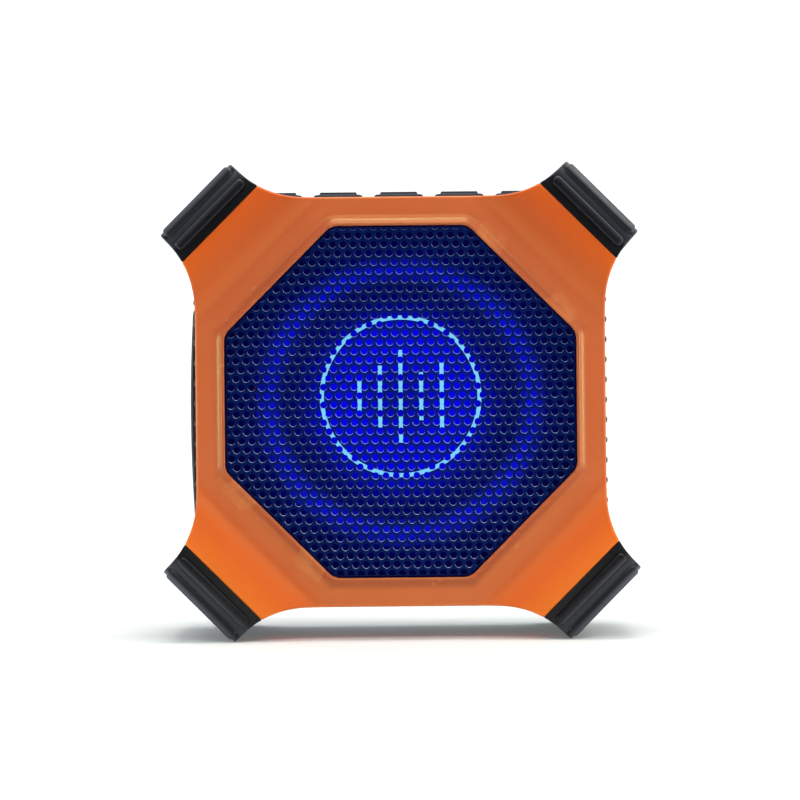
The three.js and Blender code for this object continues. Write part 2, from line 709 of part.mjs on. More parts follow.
const driverGasket = () => ring(34, 39, BAFFLE_TOP + 0.2, 16.1, 24).subtract(
  join(QUARTERS.map((k) => rod("w", 1.4, 15, 17, onDiagonal(k + 0.5, DRIVER_SCREW_R).toArray(), 8))),
);

const cone = () => turned([[8, 6.4], [27, 14.6], [27.6, 14.6], [27.6, 15.2], [26.6, 15.2], [8, 7.2]], 28);

const dustCap = () =>
  turned([[0, 17], [6, 16.6], [12, 15.4], [17, 13.8], [20, 12.7],
    [20.4, 13.1], [17.2, 14.6], [12.1, 16.2], [6.1, 17.4], [0, 17.8]], 24);

const surround = () =>
  turned([[27.9, 14.8], [28.4, 16.5], [29.6, 17.6], [31.2, 17.4], [31.2, 16.8], [29.6, 16.6], [28.8, 14.8]], 28);

const spider = () =>
  turned([[8.1, 3.8], [11.5, 4.6], [15, 3.2], [19, 3.8], [21.4, 1.5], [22.6, 1.5],
    [22.6, 2.1], [21.6, 2.2], [19.2, 4.5], [15, 3.9], [11.5, 5.3], [8.1, 4.5]], 20);

const voiceCoil = () => ring(7.2, 7.8, -8, 7, 24);

const topPlate = () => ring(8.7, 18, -3.2, -0.5, 24);

const magnet = () => ring(9.6, 19.4, -9.8, -3.5, 24);

const yoke = () => turned([[0, -13], [18, -13], [18, -10.1], [6.4, -10.1], [6.4, -0.6], [0, -0.6]], 24);

function lightBoard() {
  const board = ring(35.2, 42.4, 17.9, 18.9, 28);
  const lamps = Array.from({ length: 12 }, (_, i) =>
    solidOf(boxGeometry([37.6, 39.8], [-1.1, 1.1], [18.8, 19.6]).rotateZ((TURN * i) / 12)),
  );
  return join([board, ...lamps]);
}

// A channel-section diffuser over the lamps.
const lightRing = () =>
  turned([[34.7, 19.2], [35.7, 19.2], [35.7, 20.6], [41.7, 20.6], [41.7, 19.2], [42.7, 19.2], [42.7, 22],
    [34.7, 22]], 28);

// ---------- passive radiator ----------

const radiatorFrame = () => ring(29.8, 38, REAR_WALL - 1.9, REAR_WALL - GAP, 28);

const radiatorPlate = () =>
  turned([[0, -20.6], [20, -20.6], [20.8, -19.8], [20.8, -18.2], [20, -17.6], [0, -17.6]], 28);

const radiatorSurround = () =>
  turned([[21.1, -19.9], [22.6, -21.7], [25.3, -22.6], [28, -21.7], [29.5, -20.4],
    [29.5, -19.7], [28.2, -20.5], [25.3, -21.5], [22.9, -20.6], [21.1, -19.2]], 24);

const radiatorWeight = () => turned([[0, -17.3], [7, -17.3], [7, -16.2], [0, -16.2]], 20);

// ---------- fasteners ----------

// A pan-head screw whose head is at the back, with the shank running forward.
const housingScrew = () =>
  turned([
    [0, REAR_FRAME + 1.8],
    [2.7, REAR_FRAME + 1.8],
    [2.7, REAR_FRAME + 3.9],
    [1.4, REAR_FRAME + 3.9],
    [1.4, SCREW_END],
    [0, SCREW_END],
  ], 12);

const driverScrew = () => turned([[0, 8], [0.8, 8], [0.8, 16.8], [2.1, 17.5], [0, 17.5]], 12);

const housingSeal = () =>
  star(GAP + 4.1, ARM_END - 4.5, RIM - 0.8, RIM).subtract(
    star(GAP + 5.9, ARM_END - 6.3, RIM - 2, SKIRT + 1),
  );

const hingePin = () => rod("v", 0.75, -DOOR_HALF - 2.3, DOOR_HALF + 2.3, HINGE.toArray());

// ---------- the speaker ----------

const speaker = new THREE.Group();
const face = new THREE.Group();
face.rotation.x = Math.PI / 2;
face.position.z = OVERALL / 2;
speaker.add(face);

function add(name, solid, material, place = () => {}) {
  const mesh = new THREE.Mesh(geometryOf(solid), material);
  mesh.name = name;
  place(mesh);
  face.add(mesh);
}

add("front_bezel", bezel(), MATERIAL.orange);
add("front_grille", grille(), MATERIAL.grille);
add("baffle", baffle(), MATERIAL.plastic);
add("rear_housing", housing(), MATERIAL.plastic);
add("rear_guard", rearGuard(), MATERIAL.plastic);
add("housing_seal", housingSeal(), MATERIAL.seal);

const bumperSolid = bumper();
CORNER_NAMES.forEach((corner, k) => {
  add(`bumper_${corner}`, bumperSolid, MATERIAL.rubber, (mesh) => {
    mesh.rotation.z = (k * TURN) / 4;
  });
});

add("side_grip_right", grip(1, GRIP_BACK, 4), MATERIAL.rubber);
add("side_grip_left", grip(-1, LEFT_GRIP_BACK, 1), MATERIAL.rubber);

add("button_strip", buttonStrip(), MATERIAL.rubber);
BUTTONS.forEach(({ name, u, width }) => {
  add(`${name}_button`, button(width), MATERIAL.rubber, (mesh) => {
    mesh.position.set(u, STRIP_FLOOR, BUTTON_W);
  });
});
add("button_board", buttonBoard(), MATERIAL.board);

const onDoor = (mesh) => {
  mesh.position.y = DOOR_V;
};
add("port_door", door(), MATERIAL.rubber, onDoor);
add("port_door_seal", doorSeal(), MATERIAL.seal, onDoor);
add("port_door_pin", hingePin(), MATERIAL.steel, onDoor);
add("usb_socket", usbSocket(), MATERIAL.steel);
add("aux_socket", auxSocket(), MATERIAL.plastic);

add("main_board", mainBoard(), MATERIAL.board);
add("wireless_module", wirelessModule(), MATERIAL.steel);
add("amplifier_chip", amplifierChip(), MATERIAL.chip);

const byRightWall = (mesh) => mesh.position.set(46, 0, -4);
const alongTop = (mesh) => {
  mesh.position.set(0, 40.5, -7.3);
  mesh.rotation.set(0, TURN / 4, TURN / 4, "ZXY");
};
add("battery_cell_right", cell(), MATERIAL.wrap, byRightWall);
add("battery_cell_top", cell(), MATERIAL.wrap, alongTop);
add("battery_saddle_right", saddle(), MATERIAL.plastic, byRightWall);
add("battery_saddle_top", saddle(), MATERIAL.plastic, alongTop);

add("driver_lead", driverLead(), MATERIAL.lead);
add("battery_lead", batteryLead(), MATERIAL.lead);
add("button_lead", buttonLead(), MATERIAL.lead);
add("light_lead", lightLead(), MATERIAL.lead);

add("driver_gasket", driverGasket(), MATERIAL.seal);
add("driver_basket", basket(), MATERIAL.steel);
add("driver_cone", cone(), MATERIAL.cone);
add("driver_dust_cap", dustCap(), MATERIAL.cone);
add("driver_surround", surround(), MATERIAL.rubber);
add("driver_spider", spider(), MATERIAL.lead);
add("driver_voice_coil", voiceCoil(), MATERIAL.copper);
add("driver_top_plate", topPlate(), MATERIAL.steel);
add("driver_magnet", magnet(), MATERIAL.ferrite);
add("driver_yoke", yoke(), MATERIAL.steel);
add("light_board", lightBoard(), MATERIAL.board);
add("light_ring", lightRing(), MATERIAL.diffuser);

add("radiator_frame", radiatorFrame(), MATERIAL.plastic);
add("radiator_surround", radiatorSurround(), MATERIAL.rubber);
add("radiator_plate", radiatorPlate(), MATERIAL.plastic);
add("radiator_weight", radiatorWeight(), MATERIAL.steel);

CORNER_NAMES.forEach((corner, k) => {
  const post = onDiagonal(k, POST_S);
  add(`housing_screw_${corner}`, housingScrew(), MATERIAL.steel, (mesh) =>
    mesh.position.set(post.x, post.y, 0),
  );
});
["top", "left", "bottom", "right"].forEach((where, k) => {
  const hole = onDiagonal(k + 0.5, DRIVER_SCREW_R);
  add(`driver_screw_${where}`, driverScrew(), MATERIAL.steel, (mesh) =>
    mesh.position.set(hole.x, hole.y, 0),
  );
});

export default speaker;
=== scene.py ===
"""Looks for the portable speaker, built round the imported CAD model.

The face frame has its origin in the middle of the speaker: u to the right, v up and w forward, out
of the front, in millimetres. at(u, v, w) turns it into the row frame, in metres.
"""
import json
import math

import bmesh
import bpy
from mathutils import Matrix, Vector
from mathutils.geometry import delaunay_2d_cdt


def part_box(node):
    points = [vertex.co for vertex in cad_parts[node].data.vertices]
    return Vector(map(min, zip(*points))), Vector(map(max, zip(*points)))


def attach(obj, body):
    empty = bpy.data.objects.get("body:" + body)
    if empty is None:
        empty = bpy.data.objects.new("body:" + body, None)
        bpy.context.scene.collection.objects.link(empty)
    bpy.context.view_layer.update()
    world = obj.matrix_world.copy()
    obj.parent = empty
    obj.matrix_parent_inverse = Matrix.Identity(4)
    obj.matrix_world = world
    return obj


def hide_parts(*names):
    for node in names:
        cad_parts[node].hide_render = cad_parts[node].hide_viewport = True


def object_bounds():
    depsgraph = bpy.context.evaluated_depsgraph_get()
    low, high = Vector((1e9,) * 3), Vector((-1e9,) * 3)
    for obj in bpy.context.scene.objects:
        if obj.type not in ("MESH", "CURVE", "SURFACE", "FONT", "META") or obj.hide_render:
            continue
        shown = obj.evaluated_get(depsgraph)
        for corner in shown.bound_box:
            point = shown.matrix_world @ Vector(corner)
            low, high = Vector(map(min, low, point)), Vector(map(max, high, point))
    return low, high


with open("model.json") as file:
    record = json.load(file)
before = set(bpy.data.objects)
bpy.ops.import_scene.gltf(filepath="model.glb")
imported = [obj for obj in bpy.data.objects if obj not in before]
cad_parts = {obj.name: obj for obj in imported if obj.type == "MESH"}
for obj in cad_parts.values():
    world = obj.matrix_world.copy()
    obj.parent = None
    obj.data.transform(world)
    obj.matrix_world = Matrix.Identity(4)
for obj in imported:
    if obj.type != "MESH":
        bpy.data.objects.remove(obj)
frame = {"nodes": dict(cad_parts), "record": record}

CAD_LOW, CAD_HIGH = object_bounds()
MM = 0.001
MIDDLE = (CAD_LOW + CAD_HIGH) / 2
MIDDLE_UP = MIDDLE.z / MM
TURN = math.tau
DIAGONAL = math.sqrt(0.5)


# ---------- dimensions, in millimetres ----------


def face_box(node):
    """A CAD node's lowest and highest (u, v, w)."""
    low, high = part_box(node)
    return (
        Vector((low.x / MM, low.z / MM - MIDDLE_UP, -high.y / MM)),
        Vector((high.x / MM, high.z / MM - MIDDLE_UP, -low.y / MM)),
    )


BEZEL_LOW, BEZEL_HIGH = face_box("front_bezel")
GRILLE_LOW, GRILLE_HIGH = face_box("front_grille")
DOOR_LOW, DOOR_HIGH = face_box("port_door")
BUMPER_REACH = face_box("bumper_top_right")[1]

CORNERS = ("top_right", "top_left", "bottom_left", "bottom_right")
BUTTONS = ("power", "volume_down", "play", "volume_up", "light")

SIDE = 60.0  # middle to a straight side
ARM_HALF = 14.7  # half the width of a corner arm
FILLET = 26.0  # hollow radius between a side and an arm
ARM_RISE = 4.0  # how far the arms sweep forward of the band
ARM_END = 73.8  # middle to the end of an arm, along the diagonal
CREASE = 59.4  # where an arm leaves the band, along the diagonal
BAND = BEZEL_HIGH.z - ARM_RISE
SKIRT = BEZEL_LOW.z
WALL = 2.4
OPENING = 51.4  # apothem of the bezel's opening, on the upright and level sides
OPENING_CORNER = 5.0  # rounding of the opening's corners
LIP_CREST = 26.4  # height of the raised lip round the opening
LIP_ROUND = 0.5
LIP_LEAN = math.radians(50)  # how far round its crest the lip's outer slope starts
LIP_RUN = 2.9  # width of that slope
CUT_IN = 1.0  # how much nearer the octagon's diagonal sides are
EDGE = 0.7  # rounding along the bezel's outer edge
ARM_CORNER = 0.6  # rounding of an arm's two corners
CREASE_SOFTNESS = 0.45
SKIRT_BEVEL = 0.3
BOSS_BACK = 15.6

BUMPER_START = ARM_END + 0.05
BUMPER_END = 84.3
BUMPER_DEEP = 28.2  # middle to its front and back faces
BUMPER_ROUND = 5.0
BUMPER_CORNER = 0.5
POCKET = (11.1, -20.3, 12.0, 80.3)  # half width, back, front and far end of the hollow inside
RIB_WIDTH = 3.1
RIB_RISE = 1.6
OUTER_RIB_RISE = 1.3
RIB_HALF = 13.6
FLAT_RIB = 77.6  # the rib across the front or back, along the diagonal
EDGE_RIB_LEAN = math.radians(51)
OUTER_RIBS = (16.0, 8.0)  # forward and back of the middle one

HOLE_PITCH = 3.0
ROW_PITCH = HOLE_PITCH * math.sqrt(3) / 2
HOLE = 1.0  # radius
HOLE_CHAMFER = 0.16
HOLE_SIDES = 20
FIRST_ROW = 1.81  # height of the row of holes nearest the middle
GRILLE = OPENING - 0.4
GRILLE_FACE = GRILLE_HIGH.z
GRILLE_BEND = 0.45  # radius of the pan's edge
GRILLE_FLAT = GRILLE - GRILLE_BEND
FLAT_CORNER = 3.8  # rounding of the flat's corners
SHEET = 0.8

POST = 58.0  # housing posts, along the diagonal

GRIP_PLATE = 60.2  # outer face of a side grip's plate
STUD_PITCH = 6.0
STUD_RADIUS = 1.15
STUDS_HIGH = 11

DOOR_BACK = -16.8
DOOR_INNER = 58.3
DOOR_CROWN = 1.0
DOOR_EDGE = 1.1
HINGE_U, HINGE_W = -60.4, -18.6
PLUG_HALF = 25.2
PLUG_BACK, PLUG_FRONT = -12.2, 0.2
PLUG_FACE = 56.4


def at(u, v, w):
    return Vector((u * MM, -w * MM, (v + MIDDLE_UP) * MM))


def polar(radius, angle):
    return Vector((radius * math.cos(angle), radius * math.sin(angle)))


def angle_of(p):
    return math.atan2(p.y, p.x)


def spaced(start, end, count):
    return [start + (end - start) * i / (count - 1) for i in range(count)]


# ---------- meshes ----------


def in_scene(name, data):
    made = bpy.data.objects.new(name, data)
    bpy.context.scene.collection.objects.link(made)
    return made


def mesh_object(name, points, faces):
    """An object with every closed shell's faces turned outwards."""
    mesh = bpy.data.meshes.new(name)
    mesh.from_pydata([tuple(p) for p in points], [], faces)
    mesh.validate()
    work = bmesh.new()
    work.from_mesh(mesh)
    bmesh.ops.recalc_face_normals(work, faces=work.faces)
    work.to_mesh(mesh)
    work.free()
    return in_scene(name, mesh)


def smooth(mesh, sharp):
    mesh.polygons.foreach_set("use_smooth", [True] * len(mesh.polygons))
    mesh.set_sharp_from_angle(angle=math.radians(sharp))


def mesh_piece(name, points, faces, finish, body, replaces=(), sharp=35.0):
    """A piece from row-frame points, smooth except over sharp edges, riding on a body."""
    piece = mesh_object(name, points, faces)
    smooth(piece.data, sharp)
    piece.data.materials.append(finish)
    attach(piece, body)
    if replaces:
        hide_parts(*replaces)
    return piece


def second_finish(piece, finish, faces):
    piece.data.materials.append(finish)
    for i in faces:
        piece.data.polygons[i].material_index = 1


class Shell:
    """Points and faces that several lofts add to."""

    def __init__(self):
        self.points = []
        self.faces = []

    def ring(self, points):
        start = len(self.points)
        self.points.extend(points)
        return list(range(start, len(self.points)))

    def bridge(self, a, b):
        """Joins two rings. Either may be a single point on the axis."""
        if len(a) == 1:
            self.faces.extend((a[0], b[i], b[(i + 1) % len(b)]) for i in range(len(b)))
        elif len(b) == 1:
            self.faces.extend((a[i], a[(i + 1) % len(a)], b[0]) for i in range(len(a)))
        else:
            for i in range(len(a)):
                j = (i + 1) % len(a)
                self.faces.append((a[i], a[j], b[j], b[i]))

    def loft(self, rings, caps=True):
        made = [self.ring(points) for points in rings]
        for a, b in zip(made, made[1:]):
            self.bridge(a, b)
        if caps:
            self.faces.append(tuple(made[0]))
            self.faces.append(tuple(made[-1]))
        return made

    def tube_loft(self, rings):
        """A loft that closes on itself."""
        made = self.loft(rings, caps=False)
        self.bridge(made[-1], made[0])

    def turned(self, profile, place, count):
        """Spins (radius, height) pairs. A radius of 0 at an end is the axis.

        place(x, y, height) puts each point.
        """
        rings = []
        for radius, height in profile:
            if radius == 0:
                rings.append([place(0, 0, height)])
            else:
                spun = (polar(radius, TURN * i / count) for i in range(count))
                rings.append([place(*p, height) for p in spun])
        made = self.loft(rings, caps=False)
        if len(made[0]) > 1 and len(made[-1]) > 1:
            self.bridge(made[-1], made[0])

    def piece(self, name, finish, body, slot, replaces=(), sharp=35.0):
        return mesh_piece(name, self.points, self.faces, finish, body, replaces, sharp)


def arc(centre, radius, start, end, steps):
    return [Vector(centre) + polar(radius, start + (end - start) * i / steps) for i in range(steps + 1)]


def rounded_rectangle(half_x, half_y, radius, steps=6):
    points = []
    for quarter, (sx, sy) in enumerate(((1, 1), (-1, 1), (-1, -1), (1, -1))):
        centre = (sx * (half_x - radius), sy * (half_y - radius))
        start = quarter * TURN / 4
        points += arc(centre, radius, start, start + TURN / 4, steps)
    return points


def inset_rectangle(half_x, half_y, radius, steps=6):
    """Gives the same rounded rectangle inset by any amount, always with the same number of points."""

    def outline(inset):
        return rounded_rectangle(half_x - inset, half_y - inset, max(radius - inset, 0.02), steps)

    return outline


def edge_steps(radius, inset, height, steps=4):
    """Stations (inset, height) of an outer edge rounded between a wall and the face above it."""
    turns = [TURN / 4 * i / steps for i in range(steps + 1)]
    return [(inset + radius * (1 - math.cos(t)), height - radius + radius * math.sin(t)) for t in turns]


def bar(length, width, angle=0.0, centre=(0.0, 0.0)):
    """A bar with round ends, as an outline."""
    end = width / 2
    straight = length / 2 - end
    points = arc((straight, 0), end, -TURN / 4, TURN / 4, 5)
    points += arc((-straight, 0), end, TURN / 4, TURN * 3 / 4, 5)
    turn = Matrix.Rotation(angle, 2)
    return [turn @ p + Vector(centre) for p in points]


# ---------- materials ----------


class Nodes:
    """A material's node tree, with short calls for what the finishes share."""

    def __init__(self, name):
        self.material = bpy.data.materials.new(name)
        self.material.use_nodes = True
        self.tree = self.material.node_tree
        self.shader = self.tree.nodes["Principled BSDF"]
        self.place = self.new("ShaderNodeTexCoord").outputs["Object"]

    def new(self, kind, **settings):
        node = self.tree.nodes.new(kind)
        for key, value in settings.items():
            setattr(node, key, value)
        return node

    def link(self, source, target):
        self.tree.links.new(source, target)

    def set(self, **values):
        for key, value in values.items():
            self.shader.inputs[key.replace("_", " ")].default_value = value

    def feed(self, source, target):
        self.link(source, self.shader.inputs[target])

    def noise(self, scale, detail=3.0, stretch=None):
        node = self.new("ShaderNodeTexNoise")
        node.inputs["Scale"].default_value = scale
        node.inputs["Detail"].default_value = detail
        node.inputs["Roughness"].default_value = 0.55
        source = self.place
        if stretch:
            mapping = self.new("ShaderNodeMapping")
            mapping.inputs["Scale"].default_value = stretch
            self.link(self.place, mapping.inputs["Vector"])
            source = mapping.outputs["Vector"]
        self.link(source, node.inputs["Vector"])
        return node.outputs["Fac"]

    def math(self, operation, a, b=0.0, c=None, clamp=False):
        node = self.new("ShaderNodeMath", operation=operation, use_clamp=clamp)
        for slot, value in zip(node.inputs, (a, b) if c is None else (a, b, c)):
            if isinstance(value, (int, float)):
                slot.default_value = value
            else:
                self.link(value, slot)
        return node.outputs[0]

    def spread(self, source, low, high, start=0.3, end=0.7):
        """Maps a noise, most of which lies between start and end, on to a range."""
        node = self.new("ShaderNodeMapRange")
        for key, value in (("From Min", start), ("From Max", end), ("To Min", low), ("To Max", high)):
            node.inputs[key].default_value = value
        self.link(source, node.inputs["Value"])
        return node.outputs["Result"]

    def mix(self, factor, a, b):
        node = self.new("ShaderNodeMix", data_type="RGBA")
        self.link(factor, node.inputs["Factor"])
        for slot, value in ((node.inputs[6], a), (node.inputs[7], b)):
            if isinstance(value, tuple):
                slot.default_value = (*value, 1.0)
            else:
                self.link(value, slot)
        return node.outputs[2]

    def ramp(self, source, stops):
        """A colour ramp from (position, colour) stops."""
        node = self.new("ShaderNodeValToRGB")
        ramp = node.color_ramp
        while len(ramp.elements) > 1:
            ramp.elements.remove(ramp.elements[-1])
        ramp.elements[0].position = stops[0][0]
        ramp.elements[0].color = (*stops[0][1], 1.0)
        for position, colour in stops[1:]:
            ramp.elements.new(position).color = (*colour, 1.0)
        self.link(source, node.inputs["Fac"])
        return node.outputs["Color"]

    def bump(self, height, distance, under=None):
        node = self.new("ShaderNodeBump")
        node.inputs["Distance"].default_value = distance
        self.link(height, node.inputs["Height"])
        if under:
            self.link(under, node.inputs["Normal"])
        return node.outputs["Normal"]

    def surface(self, tone, roughness, relief, depth):
        """Colour, roughness, and a relief this deep, in metres."""
        self.feed(tone, "Base Color")
        self.feed(roughness, "Roughness")
        self.feed(self.bump(relief, depth), "Normal")

    def axis(self, name):
        """The place's X, Y or Z, in metres."""
        split = self.new("ShaderNodeSeparateXYZ")
        self.link(self.place, split.inputs[0])
        return split.outputs[name]

    def from_middle(self, up=0.0):
        """(across, up, radius) in millimetres from a point this far above the middle of the face."""
        across = self.math("MULTIPLY", self.axis("X"), 1 / MM)
        rise = self.math("MULTIPLY_ADD", self.axis("Z"), 1 / MM, -MIDDLE_UP - up)
        squares = [self.math("MULTIPLY", part, part) for part in (across, rise)]
        return across, rise, self.math("SQRT", self.math("ADD", *squares))

    def along_diagonal(self):
        """Distance outwards along the nearest diagonal of the face, in millimetres."""
        across, rise, _ = self.from_middle()
        both = self.math("ADD", self.math("ABSOLUTE", across), self.math("ABSOLUTE", rise))
        return self.math("MULTIPLY", both, DIAGONAL)

    def edge_wear_and_highlight(self):
        """1 along convex edges, broken up by noise: the mask for edges painted paler, partly wear and
        partly a painted highlight.
        """
        pointiness = self.new("ShaderNodeNewGeometry").outputs["Pointiness"]
        convex = self.spread(pointiness, 0.0, 1.0, 0.52, 0.6)
        return self.math("MULTIPLY", convex, self.spread(self.noise(260), 0.25, 1.0), clamp=True)


def moulded(name, colour, roughness, grain, depth, tint=0.12, edge=None, gloss=0.5):
    """Plastic or rubber from a mould: fine grain, a slow drift of colour and gloss, and paler edges,
    partly wear and partly a painted highlight.
    """
    n = Nodes(name)
    drift = n.noise(38, detail=4)
    fine = n.noise(grain, detail=2)
    dark = tuple(c * (1 - tint) for c in colour)
    pale = tuple(min(c * (1 + tint), 1.0) for c in colour)
    tone = n.mix(n.spread(drift, 0.0, 1.0), dark, pale)
    # Paler edges: partly wear, partly a painted highlight.
    if edge:
        tone = n.mix(n.math("MULTIPLY", n.edge_wear_and_highlight(), edge[1]), tone, edge[0])
    wear = n.math("ADD", n.spread(drift, -0.05, 0.05), n.spread(fine, -0.05, 0.05))
    n.surface(tone, n.math("ADD", wear, roughness, clamp=True), fine, depth)
    n.set(Specular_IOR_Level=gloss)
    return n.material


def orange_shell():
    """Satin casing with faint orange peel, painted shade on the lip's slope, and painted light and shade
    along the arms: darker above, brighter below and towards their ends.
    """
    n = Nodes("orange_shell")
    drift = n.noise(22, detail=3)
    peel = n.noise(900, detail=2)
    speck = n.noise(5200, detail=1)
    across, rise, _ = n.from_middle()
    square = n.math("MAXIMUM", n.math("ABSOLUTE", across), n.math("ABSOLUTE", rise))
    diagonal = n.along_diagonal()
    from_opening = n.math("MAXIMUM", square, n.math("ADD", diagonal, CUT_IN))
    face = n.mix(n.spread(drift, 0.0, 1.0), (0.68, 0.145, 0.048), (0.73, 0.165, 0.056))
    # Painted shade: the lip's slope is darker.
    tone = n.mix(n.spread(from_opening, 1.0, 0.0, 53.4, 55.2), face, (0.5, 0.11, 0.045))
    # Painted shade and light on the arms past the crease: darker above, brighter below.
    upward = n.spread(rise, 0.0, 1.0, -50.0, 50.0)
    painted_arm_shading = n.mix(upward, (0.8, 0.14, 0.026), (0.62, 0.09, 0.022))
    tone = n.mix(n.spread(diagonal, 0.0, 1.0, 56.0, 64.0), tone, painted_arm_shading)
    # Painted light towards the arms' ends, brighter below than above.
    ends = n.mix(n.spread(rise, 0.0, 1.0, -60.0, 60.0), (0.98, 0.2, 0.024), (0.82, 0.125, 0.018))
    tone = n.mix(n.spread(diagonal, 0.0, 1.0, 65.0, 74.0), tone, ends)
    specks = n.math("MULTIPLY", n.spread(speck, 0.0, 1.0, 0.55, 0.75), 0.06)
    tone = n.mix(specks, tone, (0.9, 0.34, 0.1))
    # Paler convex edges: partly wear, partly a painted highlight.
    tone = n.mix(n.math("MULTIPLY", n.edge_wear_and_highlight(), 0.35), tone, (0.86, 0.33, 0.11))
    n.feed(tone, "Base Color")
    n.feed(n.math("ADD", n.spread(drift, -0.02, 0.02), n.spread(peel, 0.28, 0.34)), "Roughness")
    n.feed(n.bump(peel, 0.000012, under=n.bump(speck, 0.000006)), "Normal")
    n.set(Specular_IOR_Level=0.4, Specular_Tint=(0.7, 1.0, 0.3, 1.0))
    return n.material


GLOW_RADIUS = 60.0
# Radius in millimetres and brightness of the painted blue glow: the lit middle, a dim gap, the ring of
# lamps, and the rim.
GLOW = [
    (0, 0.42), (8, 0.58), (15, 0.86), (22, 0.7), (27, 0.3),
    (31, 0.12), (34.5, 0.11),
    (36, 0.24), (37.5, 0.5), (39, 0.5), (40.8, 0.26),
    (43, 0.12), (47, 0.06), (53, 0.03),
]


def glow(n, gain):
    """Brightness of the painted blue glow, by distance from the middle of the face."""
    radius = n.math("DIVIDE", n.from_middle()[2], GLOW_RADIUS)
    stops = [(r / GLOW_RADIUS, (level * gain,) * 3) for r, level in GLOW]
    return n.ramp(radius, stops)


def lit(name, colour, roughness, gain, grain=900, depth=0.00004, lamps=0):
    """A part behind the grille, washed by the blue light, painted on as emission that fades from the
    middle; only on the diffuser does it stand for the lamps themselves.
    """
    n = Nodes(name)
    fine = n.noise(grain, detail=3)
    drift = n.noise(60, detail=3)
    tone = n.mix(n.spread(drift, 0, 1), colour, tuple(c * 1.5 for c in colour))
    n.surface(tone, n.spread(fine, roughness - 0.08, roughness + 0.08), fine, depth)
    n.set(Specular_IOR_Level=0.08)
    # Painted light: the glow is emission, by distance from the middle.
    level = n.math("MULTIPLY", glow(n, gain), n.spread(drift, 0.9, 1.08))
    if lamps:
        across, rise, _ = n.from_middle()
        angle = n.math("ARCTAN2", rise, across)
        wave = n.math("COSINE", n.math("MULTIPLY", angle, float(lamps)))
        level = n.math("MULTIPLY", level, n.math("MULTIPLY_ADD", wave, 0.08, 0.96))
    blue = n.mix(n.math("MULTIPLY", level, 0.1), (0.0, 0.0, 1.0), (0.002, 0.006, 1.0))
    n.feed(blue, "Emission Color")
    n.feed(level, "Emission Strength")
    return n.material


EMBLEM_UP = 1.5
EMBLEM_RING = 23.0
EMBLEM_STROKE = 0.6
EMBLEM_BARS = ((-12.0, 4.5), (-6.0, 9.0), (0.0, 13.5), (6.0, 7.0), (12.0, 10.0))


def emblem_mask(n):
    """1 on a printed ring with five level-meter bars in it."""
    across, rise, radius = n.from_middle(EMBLEM_UP)

    def near(value, middle, reach):
        away = n.math("ABSOLUTE", n.math("SUBTRACT", value, middle))
        return n.math("LESS_THAN", away, reach)

    mask = near(radius, EMBLEM_RING, EMBLEM_STROKE)
    for place, half in EMBLEM_BARS:
        beside = near(across, place, EMBLEM_STROKE)
        within = n.math("LESS_THAN", n.math("ABSOLUTE", rise), half)
        mask = n.math("MAXIMUM", mask, n.math("MULTIPLY", beside, within))
    return mask


# Distance along the diagonal and how pale the rubber is there, as painted light and shade: painted
# highlights on the rib crests, painted shade at their feet; flat, flat rib, groove, edge rib.
BUMPER_PAINTED_LIGHT = [
    (74.0, 0.003), (77.6, 0.006),
    (78.8, 0.05), (79.3, 0.03), (79.8, 0.04), (81.4, 0.045),
    (81.9, 0.006), (82.6, 0.015),
    (83.7, 0.09), (84.3, 0.05), (86.0, 0.015),
]


def bumper_rubber():
    """Moulded rubber, painted paler outwards across its ribs: painted highlights on the crests and
    painted shade at their feet.
    """
    n = Nodes("bumper_rubber")
    fine = n.noise(2200, detail=2)
    drift = n.noise(38, detail=4)
    first, last = BUMPER_PAINTED_LIGHT[0][0], BUMPER_PAINTED_LIGHT[-1][0]
    # The painted light and shade follow the distance along the diagonal.
    place = n.spread(n.along_diagonal(), 0.0, 1.0, first, last)
    stops = []
    for s, tone in BUMPER_PAINTED_LIGHT:
        stops.append(((s - first) / (last - first), (tone * 0.9, tone, tone * 1.25)))
    tone = n.mix(n.spread(drift, 0.0, 0.3), n.ramp(place, stops), (0.004, 0.005, 0.008))
    roughness = n.math("ADD", n.spread(drift, -0.04, 0.04), n.spread(fine, 0.3, 0.42))
    n.surface(tone, roughness, fine, 0.00003)
    n.set(Specular_IOR_Level=0.28)
    return n.material


def grille_paint():
    """Satin navy paint on steel, a printed emblem, and a painted blue glow on paint and print, in place
    of light spilt through the holes.
    """
    n = Nodes("grille_paint")
    fine = n.noise(2400, detail=2)
    drift = n.noise(45, detail=3)
    print_mask = emblem_mask(n)
    paint = n.mix(n.spread(drift, 0.0, 1.0), (0.001, 0.007, 0.055), (0.002, 0.009, 0.075))
    tone = n.mix(print_mask, paint, (0.16, 0.5, 0.7))
    n.surface(tone, n.spread(fine, 0.24, 0.34), fine, 0.000008)
    n.set(Specular_IOR_Level=0.07, Specular_Tint=(0.55, 0.85, 1.0, 1.0))
    # Painted glow: emission on the paint, strongest in the middle, and more on the print.
    painted_spill = n.math("ADD", glow(n, 0.17), 0.006)
    n.feed(n.mix(print_mask, (0.001, 0.004, 1.0), (0.16, 0.6, 1.0)), "Emission Color")
    n.feed(n.math("MULTIPLY_ADD", print_mask, 0.2, painted_spill), "Emission Strength")
    return n.material


